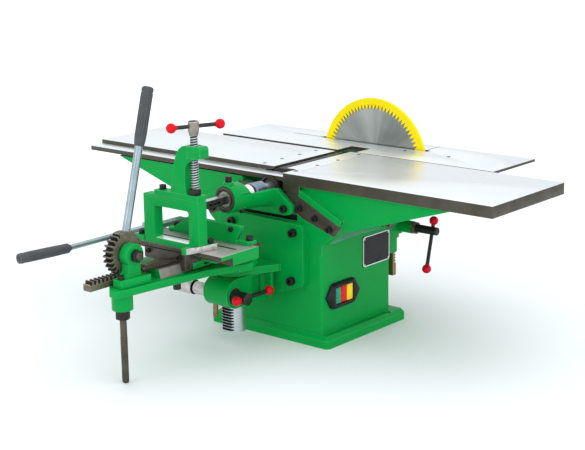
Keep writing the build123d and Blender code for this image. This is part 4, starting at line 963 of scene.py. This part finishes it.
@dataclass(frozen=True)
class ClampScrew:
    """The coarse screw of the work clamp, with its head."""

    axis: Axis = Axis((43.0, -392.0, 0.0), UP)
    foot: float = 365.1
    foot_radius: float = 6.0
    foot_chamfer: float = 0.6
    thread_low: float = 374.0
    thread_high: float = 480.0
    radius: float = 8.0
    pitch: float = 5.0
    depth: float = 1.8
    rows_in_pitch: int = 10
    root_radius: float = 7.1
    head_low: float = 477.0
    head_top: float = 506.0
    head_radius: float = 11.0
    inset: float = 1.0

    def build(self) -> None:
        """Build the threaded stem, shade painted in its roots, the head, and a highlight painted on
        top.
        """
        low, high, edge = self.thread_low, self.thread_high, self.foot_chamfer
        rows = int((high - low) / self.pitch * self.rows_in_pitch)
        foot = [(self.foot, self.foot_radius - edge), (self.foot + edge, self.foot_radius)]
        foot.append((low - edge, self.foot_radius))
        stem = np.concatenate([foot, plain_rod(low, high, self.radius, rows)])
        ripple = Thread(self.pitch, self.depth, low - SLACK).ripple
        rings = self.axis.turned(stem, THREAD_POINTS, ripple)
        self.piece("stem", BRIGHT_BAR, ("clamp_screw",)).from_rings(rings, THREAD_DEG)
        # A black core under the thread: painted shade in its roots
        core = plain_rod(low + self.inset, high - self.inset, self.root_radius, 2)
        self.piece("roots", GREASE_AND_SHADE).from_rings(self.axis.turned(core, THREAD_POINTS))
        self.piece("head", WAY_STEEL).from_rings(self.axis.turned(self.head_profile()))
        # The bright disc on top is a painted highlight
        top, rim = self.head_top, self.head_radius
        disc = [(top - 1.1, rim - 0.4), (top, rim - 1.5)]
        self.piece("top", BRIGHT_BAR).from_rings(self.axis.turned(disc))

    @staticmethod
    def piece(part: str, finish: Finish, nodes: tuple[str, ...] = ()) -> Piece:
        """One piece of the screw, which rides on the clamp's spindle."""
        return Piece(f"clamp_screw_{part}", "clamp_spindle", finish, "dark_steel", nodes)

    def head_profile(self) -> list[Span]:
        """Barrel with a waist, a rounded shoulder and a broken top edge.

        Returns:
            Rows of place and radius.
        """
        low, top, rim = self.head_low, self.head_top, self.head_radius
        waist = [(low, 7.5), (low + 1.5, 9.0), (low + 6.0, 9.4), (low + 9.0, 10.6)]
        barrel = [(low + 12.0, rim), (top - 3.0, rim), (top - 1.0, rim - 0.5), (top, rim - 1.6)]
        return waist + barrel


@dataclass(frozen=True)
class SupportLeg:
    """The threaded foot that props the end of the slide bar."""

    axis: Axis = Axis((-26.0, -532.0, 0.0), UP)
    shank: Span = (6.0, 180.0)
    radius: float = 7.0
    tip_round: float = 5.0
    tip_rows: int = 10
    shank_rows: int = 560
    thread: Thread = Thread(pitch=2.5, depth=0.7, start=96.0)

    def build(self) -> None:
        """Build the rod with a quarter circle round its tip and the thread near the nut."""
        angle = np.linspace(0.0, 0.5 * np.pi, self.tip_rows)
        flat = self.radius - self.tip_round
        tip = [self.tip_round * (1.0 - np.cos(angle)), flat + self.tip_round * np.sin(angle)]
        shank = plain_rod(*self.shank, self.radius, self.shank_rows)
        profile = np.concatenate([np.stack(tip, axis=1), shank])
        leg = Piece("support_leg_rod", "leg", DARK_STEEL, "dark_steel", ("support_leg",))
        leg.from_rings(self.axis.turned(profile, SCREW_POINTS, self.thread.ripple), THREAD_DEG)


@dataclass(frozen=True)
class DepthStop:
    """The threaded stop rod on the saddle's front face, and the two screws beside it."""

    axis: Axis = Axis((-11.5, -487.0, 223.5), (0.046, 1.0, 0.0))
    nub: Span = (-4.0, -0.9)
    nub_radius: float = 3.5
    nub_chamfer: float = 0.7
    length: float = 86.6
    radius: float = 5.5
    rows: int = 320
    root_radius: float = 4.9
    inset: float = 1.0
    thread: Thread = Thread(pitch=6.0, depth=1.1, start=-SLACK)
    screws: tuple[Point, Point] = ((-85.0, -400.0, 231.0), (3.0, -400.0, 231.0))
    screw_profile: tuple[Span, ...] = ((0.0, 5.0), (4.3, 5.0), (5.0, 4.3), (5.0, 2.8), (2.4, 2.5))

    def build(self) -> None:
        """Build the rod with its turned-down end, then a socket head on each side."""
        # A black core under the thread: painted shade in its roots
        roots = Piece("depth_stop_roots", "feed_slide", GREASE_AND_SHADE, "black_oxide")
        core = plain_rod(self.inset, self.length - self.inset, self.root_radius, 2)
        roots.from_rings(self.axis.turned(core, SCREW_POINTS))
        (low, high), wide, edge = self.nub, self.nub_radius, self.nub_chamfer
        end = [(low, wide - edge), (low + edge, wide), (high, wide)]
        profile = np.concatenate([end, plain_rod(0.0, self.length, self.radius, self.rows)])
        rod = Piece("depth_stop_rod", "feed_slide", DARK_STEEL, "black_oxide", ("depth_stop",))
        rod.from_rings(self.axis.turned(profile, SCREW_POINTS, self.thread.ripple), THREAD_DEG)
        for side, seat in zip(("left", "right"), self.screws):
            head = Piece(f"saddle_screw_{side}", "feed_slide", BLACK_OXIDE, "black_oxide")
            head.from_rings(Axis(seat, FORWARD).turned(self.screw_profile, SCREW_POINTS))


@dataclass(frozen=True)
class DrillChuck:
    """The chuck on the near end of the spindle and the auger that it holds."""

    axis: Axis = Axis((0.0, 0.0, 322.0), FORWARD)
    back: float = 150.0
    neck: Span = (185.0, 190.0)
    front: float = 211.9
    auger: Span = (160.0, 343.0)
    auger_radius: float = 5.95
    auger_rows: int = 260
    flute: Span = (262.0, 343.5)
    flute_depth: float = 2.52
    twist: float = 26.0

    def build(self) -> None:
        """Build the chuck body, its neck and white collar, and the twisted auger."""
        back, (low, high), front = self.back, self.neck, self.front
        body = [(back + 0.2, 13.0), (back + 0.8, 18.4), (back + 2.5, 19.8), (low - 10.0, 19.8)]
        body += [(low - 8.0, 20.0), (low - 2.0, 20.0), (low - 0.5, 19.2), (low, 18.0)]
        neck = [(low - 0.1, 15.0), (low, 17.0), (high, 17.0), (high + 0.1, 15.0)]
        collar = [(high, 14.0), (high + 0.1, 17.6), (high + 1.0, 18.5), (front - 3.9, 18.5)]
        collar += [(front - 1.9, 17.0), (front, 12.0), (front, 7.0)]
        for name, finish, profile, nodes in (
            ("chuck_body", CHUCK_STEEL, body, ("drill_chuck",)),
            ("chuck_neck", BLACK_OXIDE, neck, ()),
            ("chuck_collar", COLLAR_WHITE, collar, ()),
        ):
            piece = Piece(name, "spindle", finish, "bright_steel", nodes)
            piece.from_rings(self.axis.turned(profile))
        tip = self.auger[1]
        point = [(tip + 1.0, 3.2), (tip + 3.0, 1.6), (tip + 6.0, 0.5)]
        shank = plain_rod(*self.auger, self.auger_radius, self.auger_rows)
        auger = Piece("auger_twist", "spindle", TOOL_SCALE, "bright_steel", ("auger_bit",))
        bit = np.concatenate([shank, point])
        auger.from_rings(self.axis.turned(bit, RING_POINTS, self.ripple), TWIST_DEG)

    def ripple(self, place: Array, angle: Array) -> Array:
        """Two flutes clear of the chuck: -depth (1 - sqrt |cos(angle - turn s / twist)|).

        Args:
            place: places s along the spindle.
            angle: angles round it.

        Returns:
            The height to add to the radius.
        """
        phase = angle - TURN * place / self.twist
        depth = -self.flute_depth * (1.0 - np.abs(np.cos(phase)) ** 0.5)
        return np.where((place > self.flute[0]) & (place < self.flute[1]), depth, 0.0)


def soft_least(first: Array, second: Array, power: float) -> Array:
    """Lesser of two distances, rounded where they meet: (a^-p + b^-p)^(-1/p)."""
    return (first**-power + second**-power) ** (-1.0 / power)


@dataclass(frozen=True)
class SwitchFace:
    """The moulded switch bezel: a long hexagon that steps in to a square window."""

    centre: Span = (-61.0, 102.0)
    half_length: float = 56.0
    half_shoulder: float = 38.0
    half_height: float = 28.0
    window: Span = (30.2, 18.2)
    wall_x: float = 142.0
    front_x: float = 152.0
    floor_x: float = 137.0
    back_x: float = 122.0
    rim_power: float = 14.0
    window_power: float = 24.0
    points: int = 144

    def build(self) -> None:
        """Loft hexagon rings out of the wall, over the rim and down into the window."""
        angle = np.linspace(0.0, TURN, self.points, endpoint=False)
        rim, hole = self.radii(np.abs(np.cos(angle)), np.abs(np.sin(angle)))
        wall, front, floor, back = self.wall_x, self.front_x, self.floor_x, self.back_x
        stations = [
            (wall, rim), (wall + 5.0, rim - 0.6), (front - 2.0, rim - 3.4),
            (front - 0.6, rim - 4.8), (front, rim - 6.4), (front, hole + 3.0),
            (front - 0.8, hole + 0.6), (front - 2.0, hole), (floor, hole),
            (floor - 3.0, hole + 2.0), (back, hole + 2.5), (back, hole + 7.0), (wall, hole + 7.0),
        ]
        rings = [
            wall_ring(place, self.centre, radius * np.cos(angle), radius * np.sin(angle))
            for place, radius in stations
        ]
        nodes = ("switch_bezel",)
        bezel = Piece("switch_bezel_moulding", "base", SWITCH_BLACK, "switch_black", nodes)
        bezel.from_rings(np.stack(rings), BEZEL_DEG, closed_path=True)

    def radii(self, cosine: Array, sine: Array) -> tuple[Array, Array]:
        """Distances from the middle to the hexagon and to the window.

        Args:
            cosine: size of the cosine of each ray's angle.
            sine: size of its sine.

        Returns:
            The distance to the nearer of the hexagon's level and slanted sides, and the distance
            to the nearer of the window's sides.
        """
        cosine_safe, sine_safe = np.maximum(cosine, TINY), np.maximum(sine, TINY)
        rise = self.half_length - self.half_shoulder
        slant = self.half_length * self.half_height / (self.half_height * cosine + rise * sine)
        rim = soft_least(self.half_height / sine_safe, slant, self.rim_power)
        wide, tall = self.window[0] / cosine_safe, self.window[1] / sine_safe
        return rim, soft_least(wide, tall, self.window_power)


@dataclass(frozen=True)
class PlateBorder:
    """The bright rim round the bare data plate."""

    y_range: Span = (12.0, 106.0)
    z_range: Span = (141.0, 208.0)
    face_x: float = 143.2
    height: float = 0.5
    inset: Span = (0.3, 2.1)
    corner: float = 6.0
    points: int = 96

    def build(self) -> None:
        """Carry a flat rim section round a rectangle whose corners are quarter circles."""
        angle = np.linspace(0.0, TURN, self.points, endpoint=False)
        cosine, sine = np.cos(angle), np.sin(angle)
        centre = (0.5 * sum(self.y_range), 0.5 * sum(self.z_range))
        corner_y = np.sign(cosine) * (self.y_range[1] - centre[0] - self.corner)
        corner_z = np.sign(sine) * (self.z_range[1] - centre[1] - self.corner)
        outer, inner = self.inset
        section = ((0.0, outer), (self.height, outer), (self.height, inner), (0.0, inner))
        rings = []
        for rise, inset in section:
            round_off = self.corner - inset
            across, up = corner_y + round_off * cosine, corner_z + round_off * sine
            rings.append(wall_ring(self.face_x + rise, centre, across, up))
        rim = Piece("data_plate_rim", "base", PLATE_RIM, "plate_dark")
        rim.from_rings(np.stack(rings), RIM_DEG, closed_path=True)


# Planer tables: dark milled sides, ground tops, and black in the drilled pits of the tops
TABLE_COATS = (Coat(TABLE_EDGE, between(Z, 336.2, 359.9)), Coat(GROUND_TOP, upward(349.0)))
TOP_PITS = Coat(GREASE_AND_SHADE, every(facing(Z, 1), between(Z, 359.5, 359.7)))
# The infeed table's front face is milled down to its foot
INFEED_COATS = (Coat(TABLE_EDGE, between(Y, -131.0, -129.5)), *TABLE_COATS, TOP_PITS)
# Table ends that look into the cutter's throat, painted black as shade
INFEED_THROAT = Coat(GREASE_AND_SHADE, every(facing(X, -1), between(X, 36.0, 64.0)))
OUTFEED_THROAT = Coat(GREASE_AND_SHADE, every(facing(X, 1), between(X, -64.0, -30.0)))
# Lip plates: ground tops with sunk screws
LIP_COATS = (
    Coat(GROUND_TOP, upward(359.8)),
    Coat(GREASE_AND_SHADE, every(facing(Z, 1), between(Z, 357.0, 359.7))),
)
# Saddle: painted behind, bare where the slide runs
SADDLE_COATS = (
    Coat(GREEN_ENAMEL, between(Y, -354.5, -230.0)),
    Coat(GREEN_ENAMEL, every(between(Y, -378.5, -230.0), between(Z, 200.0, 217.0))),
)
# Cross table: milled front, oily back strip and worn top
CROSS_COATS = (
    Coat(TABLE_EDGE, facing(Y, -1)),
    Coat(DARK_STEEL, between(Y, -296.5, -255.0)),
    Coat(WORN_PLATE, upward(249.0)),
)
# Arch: filed end of its foot, and the ground strip in its window
ARCH_COATS = (
    Coat(FILED_FACE, every(facing(X, 1), between(X, 55.0, 80.0), between(Z, 250.0, 264.0))),
    Coat(GROUND_TOP, every(facing(Z, 1), between(X, -60.5, 40.0), between(Z, 262.5, 263.5))),
)
# Base: roof under the infeed table made light as painted highlight, and the throat and the slot
# over the knee bracket painted black as shade
BODY_COATS = (
    Coat(ROOF_PAINTED_HIGHLIGHT, every(facing(Z, 1), between(X, 61.0, 141.8), between(Z, 216.5, 257.5))),
    Coat(GREASE_AND_SHADE, every(between(X, -62.0, 62.0), between(Z, 290.0, 330.0))),
    Coat(GREASE_AND_SHADE, every(between(Y, -126.9, -118.0), between(Z, 261.9, 275.1))),
)
# Slide bar: scraped ways on top, painted in front
WAY_COATS = (
    Coat(WAY_STEEL, between(Z, 199.5, 230.0)),
    Coat(GREEN_ENAMEL, every(facing(Y, -1), between(Z, 199.5, 230.0))),
)
# Lift pinion: scaled hub, bright shaft end, and the groove in it painted black as shade
LIFT_COATS = (
    Coat(TOOL_SCALE, between(X, 20.0, 60.0)),
    Coat(WORN_PLATE, between(X, -150.0, -53.0)),
    Coat(GREASE_AND_SHADE, between(X, -102.1, -96.9)),
)
# Black between the teeth of the racks and of the feed gear
COLUMN_COATS = (Coat(GREASE_AND_SHADE, every(flanks(Z, Y, -1, -238.0), between(Z, 30.0, 180.0))),)
POST_COATS = (Coat(GREASE_AND_SHADE, flanks(Z, Y, 1, 151.0)),)
RACK_COATS = (Coat(GREASE_AND_SHADE, every(flanks(Y, Z, 1, 218.0), between(Y, -603.5, -306.5))),)
GEAR_COATS = (Coat(GREASE_AND_SHADE, round_gaps((-508.0, 255.0), 15.0, 42.5)),)
# Small bare places: stop pin, chisel bush, rivets, pinion ring, bracket washer; and the chisel's
# top face, made bright as painted highlight
PIN_COATS = (Coat(TAN_ZINC, every(between(Z, 50.0, 96.0), between(Y, -257.0, -243.0))),)
BUSH_COATS = (Coat(WAY_STEEL, between(Y, -264.5, -263.5)),)
CHISEL_COATS = (Coat(BRIGHT_BAR, upward(329.0)),)
RIVET_COATS = (Coat(BRIGHT_BAR, between(X, 143.3, 150.0)),)
RING_COATS = (Coat(TAN_ZINC, between(X, 167.0, 176.0)),)
WASHER_COATS = (Coat(DARK_STEEL, between(X, 0.5, 9.0)),)
# Saw table top, and the end of the cross lever under its grip
SAW_TOP_COATS = (Coat(GROUND_TOP, upward(359.0)), TOP_PITS)
LEVER_COATS = (Coat(GRIP_VINYL, between(Y, -660.0, -537.5)),)

DRESSINGS = (
    Dressing("base_casting", GREEN_ENAMEL, BODY_COATS),
    Dressing("keeper_plates", DARK_STEEL, rounding_mm=0.6),
    Dressing("bearing_housings", TOOL_SCALE, rounding_mm=1.0),
    Dressing("spindle_bearings", DARK_STEEL),
    Dressing("outfeed_table", GREEN_ENAMEL, (*TABLE_COATS, OUTFEED_THROAT), 0.8),
    Dressing("infeed_table", GREEN_ENAMEL, (*INFEED_COATS, INFEED_THROAT), 0.8),
    Dressing("outfeed_lip_plate", TABLE_EDGE, (*LIP_COATS, OUTFEED_THROAT)),
    Dressing("infeed_lip_plate", TABLE_EDGE, (*LIP_COATS, INFEED_THROAT)),
    Dressing("chisel_holder", GREEN_ENAMEL, rounding_mm=1.5),
    Dressing("chisel_bush", DARK_STEEL, BUSH_COATS, 0.5),
    Dressing("mortise_chisel", TOOL_SCALE, CHISEL_COATS, 0.4),
    Dressing("drive_belts", BELT_RUBBER),
    Dressing("motor_body", MOTOR_GREY, rounding_mm=1.0),
    Dressing("belt_guard", GREEN_ENAMEL, rounding_mm=0.5),
    Dressing("saw_guides", GREEN_ENAMEL),
    Dressing("knee_bracket", GREEN_ENAMEL),
    Dressing("machine_bolts", BLACK_OXIDE, PIN_COATS, 0.4),
    Dressing("nameplate", PLATE_INK, RIVET_COATS),
    Dressing("cable_gland", SWITCH_BLACK, rounding_mm=0.5),
    Dressing("spindle_shaft", BRIGHT_BAR),
    Dressing("cutter_block", BLACK_OXIDE),
    Dressing("planer_knives", TOOL_SCALE),
    Dressing("saw_blade", SAW_PLATE),
    Dressing("tooth_guard", YELLOW_STRIP),
    Dressing("blade_clamp", DARK_STEEL, rounding_mm=0.6),
    Dressing("spindle_pulley", DARK_STEEL),
    Dressing("motor_shaft", BRIGHT_BAR),
    Dressing("motor_pulley", DARK_STEEL),
    Dressing("infeed_screw", DARK_STEEL),
    Dressing("saw_table", TABLE_EDGE, SAW_TOP_COATS, 0.6),
    Dressing("saw_table_posts", TAN_ZINC, POST_COATS),
    Dressing("saw_lift_pinion", BLACK_OXIDE, RING_COATS, 0.5),
    Dressing("lift_column", BRIGHT_BAR, COLUMN_COATS),
    Dressing("slide_bar", GREEN_ENAMEL, WAY_COATS, 1.0),
    Dressing("gear_bracket", GREEN_ENAMEL, rounding_mm=1.5),
    Dressing("bracket_fasteners", BLACK_OXIDE, WASHER_COATS, 0.4),
    Dressing("lift_pinion", BLACK_OXIDE, LIFT_COATS, 0.5),
    Dressing("saddle", DARK_STEEL, SADDLE_COATS, 0.8),
    Dressing("feed_rack", GEAR_IRON, RACK_COATS, 0.4),
    Dressing("feed_gear", GEAR_IRON, GEAR_COATS, 0.4),
    Dressing("cross_table", GREEN_ENAMEL, CROSS_COATS, 0.8),
    Dressing("clamp_arch", GREEN_ENAMEL, ARCH_COATS, 1.5),
    Dressing("clamp_frame", GREEN_ENAMEL),
    Dressing("work_fence", GREEN_ENAMEL, rounding_mm=1.2),
    Dressing("table_bolts", BLACK_OXIDE, rounding_mm=0.4),
    Dressing("cross_lever", LEVER_STEEL, LEVER_COATS),
    Dressing("clamp_pad", BLACK_OXIDE, rounding_mm=0.6),
    Dressing("start_button", BUTTON_GREEN, rounding_mm=1.2),
    Dressing("stop_button", BUTTON_RED, rounding_mm=1.2),
    Dressing("third_button", BUTTON_YELLOW, rounding_mm=1.2),
)

CLAMP_BAR_TURN = math.radians(66.7)
SAW_BAR_TILT = math.radians(14.0)
CLAMP_LINE = Axis(
    (43.0, -392.0, 496.0), (math.cos(CLAMP_BAR_TURN), math.sin(CLAMP_BAR_TURN), 0.0)
)
LIFT_LINE = Axis((38.0, -252.0, 116.0), (0.0, 1.0, 0.0))
SAW_LINE = Axis((218.0, 162.0, 204.0), (0.0, math.sin(SAW_BAR_TILT), math.cos(SAW_BAR_TILT)))
TEE_BARS = (
    TeeBar("clamp_tee", "clamp_spindle", "clamp_bar", CLAMP_LINE, -46.0, 56.0, 4.0, TOOL_SCALE),
    TeeBar("lift_tee", "lift_handle", "lift_bar", LIFT_LINE, -23.5, 77.0, 4.5, TOOL_SCALE),
    TeeBar(
        "saw_lift_tee", "saw_lift_handle", "saw_lift_bar", SAW_LINE, -84.0, 22.5, 4.0, BLACK_OXIDE
    ),
)


@dataclass(frozen=True)
class Lamp:
    """A square softbox: its name, place, side and power."""

    name: str
    place: Point
    side: float
    watts: float

    def hang(self, aim: Point) -> None:
        """Hang the softbox so that it looks at a point.

        Args:
            aim: the point.
        """
        data = bpy.data.lights.new(self.name, "AREA")
        data.size = self.side
        data.energy = self.watts
        lamp = put(self.name, data)
        lamp.location = self.place
        look = Vector(aim) - Vector(self.place)
        lamp.rotation_euler = look.to_track_quat("-Z", "Y").to_euler()


@dataclass(frozen=True)
class Studio:
    """Pale floor, white surround, soft lamps and the picture's camera."""

    eye: Point = (1.9491, -2.3518, 0.9740)
    azimuth_deg: float = 40.27
    pitch_deg: float = 13.92
    roll_deg: float = -0.79
    lens_mm: float = 88.6
    sensor_mm: float = 36.0
    floor_half: float = 14.0
    floor_colour: str = "#EDEFF1"
    floor_roughness: float = 0.9
    glow_reach: Span = (0.6, 4.5)
    glow_strength: float = 0.5
    surround: str = "#F3F6F9"
    surround_lit: float = 1.25
    surround_seen: float = 1.0
    aim: Point = (0.0, -0.1, 0.25)
    lamps: tuple[Lamp, ...] = (
        Lamp("key_softbox", (-0.4, -3.4, 1.5), 2.4, 18.0),
        Lamp("fill_softbox", (3.0, -1.4, 1.9), 2.4, 20.0),
        Lamp("top_softbox", (0.2, 0.6, 3.0), 3.0, 16.0),
    )

    def build(self) -> None:
        """Set the camera, then the floor, the surround and the lamps."""
        self.place_camera()
        self.lay_floor()
        self.light_surround()
        for lamp in self.lamps:
            lamp.hang(self.aim)
        bpy.context.scene.view_settings.view_transform = "Standard"

    def place_camera(self) -> None:
        """Stand the camera where the photograph was taken from."""
        angles = (self.azimuth_deg, self.pitch_deg, self.roll_deg)
        turn, pitch, roll = (math.radians(angle) for angle in angles)
        level = Vector((math.cos(turn), math.sin(turn), 0.0))
        flat = math.cos(pitch)
        back = Vector((math.sin(turn) * flat, -math.cos(turn) * flat, math.sin(pitch)))
        upright = back.cross(level)
        right = math.cos(roll) * level + math.sin(roll) * upright
        up = -math.sin(roll) * level + math.cos(roll) * upright
        data = bpy.data.cameras.new("picture_camera")
        data.lens = self.lens_mm
        data.sensor_width = self.sensor_mm
        camera = put("picture_camera", data)
        axes = Matrix((right, up, back)).transposed()
        camera.matrix_world = Matrix.Translation(self.eye) @ axes.to_4x4()
        bpy.context.scene.camera = camera

    def lay_floor(self) -> None:
        """Lay a pale sheet that glows, for the eye only, where the lamps no longer reach."""
        reach = self.floor_half
        corners = [(-reach, -reach, 0), (reach, -reach, 0), (reach, reach, 0), (-reach, reach, 0)]
        mesh = bpy.data.meshes.new("studio_floor")
        mesh.from_pydata(corners, [], [(0, 1, 2, 3)])
        # Studio paper: dull and pale
        material = bpy.data.materials.new("studio_paper")
        material.use_nodes = True
        tree = material.node_tree
        shader = tree.nodes["Principled BSDF"].inputs
        shader["Base Color"].default_value = linear(self.floor_colour)
        shader["Roughness"].default_value = self.floor_roughness
        shader["Emission Color"].default_value = linear(self.surround)
        place = add_node(tree, "TexCoord", {}, {}, "Object")
        away = add_node(tree, "VectorMath", {"operation": "LENGTH"}, {0: place}, "Value")
        fade = {"interpolation_type": "SMOOTHSTEP", "To Max": self.glow_strength}
        fade |= {"From Min": self.glow_reach[0], "From Max": self.glow_reach[1]}
        glow = add_node(tree, "MapRange", fade, {"Value": away})
        share = add_node(tree, "Math", TIMES, {0: glow, 1: self.seen(tree)})
        tree.links.new(share, shader["Emission Strength"])
        mesh.materials.append(material)
        floor = put("studio_floor", mesh)

    @staticmethod
    def seen(tree: Tree) -> Socket:
        """Tell what the eye sees, straight or by way of metal or glass, from what lights the object.

        Args:
            tree: the node tree of the floor or of the surround.

        Returns:
            A socket that holds one for the eye and nothing for the rest.
        """
        paths = add_node(tree, "LightPath", {}, {}).node.outputs
        rays = {0: paths["Is Camera Ray"], 1: paths["Is Glossy Ray"]}
        straight = add_node(tree, "Math", LARGEST, rays)
        return add_node(tree, "Math", LARGEST, {0: straight, 1: paths["Is Transmission Ray"]})

    def light_surround(self) -> None:
        """White surround for the eye and for reflections, and a little more light on the object."""
        world = bpy.data.worlds.new("studio_surround")
        bpy.context.scene.world = world
        world.use_nodes = True
        tree = world.node_tree
        strengths = {"To Min": self.surround_lit, "To Max": self.surround_seen}
        background = tree.nodes["Background"].inputs
        background["Color"].default_value = linear(self.surround)
        strength = add_node(tree, "MapRange", strengths, {"Value": self.seen(tree)})
        tree.links.new(strength, background["Strength"])


def main() -> None:
    """Load the frame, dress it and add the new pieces."""
    logging.basicConfig(level=logging.INFO, format="%(message)s")
    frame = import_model()
    for dressing in DRESSINGS:
        dressing.apply(frame["nodes"])
    levers = (FeedLever(), CrossLever())
    mortiser = (ClampScrew(), SupportLeg(), DepthStop(), DrillChuck())
    for maker in (*TEE_BARS, *levers, *mortiser, SwitchFace(), PlateBorder(), Studio()):
        maker.build()
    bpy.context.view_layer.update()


if __name__ == "__main__":
    main()
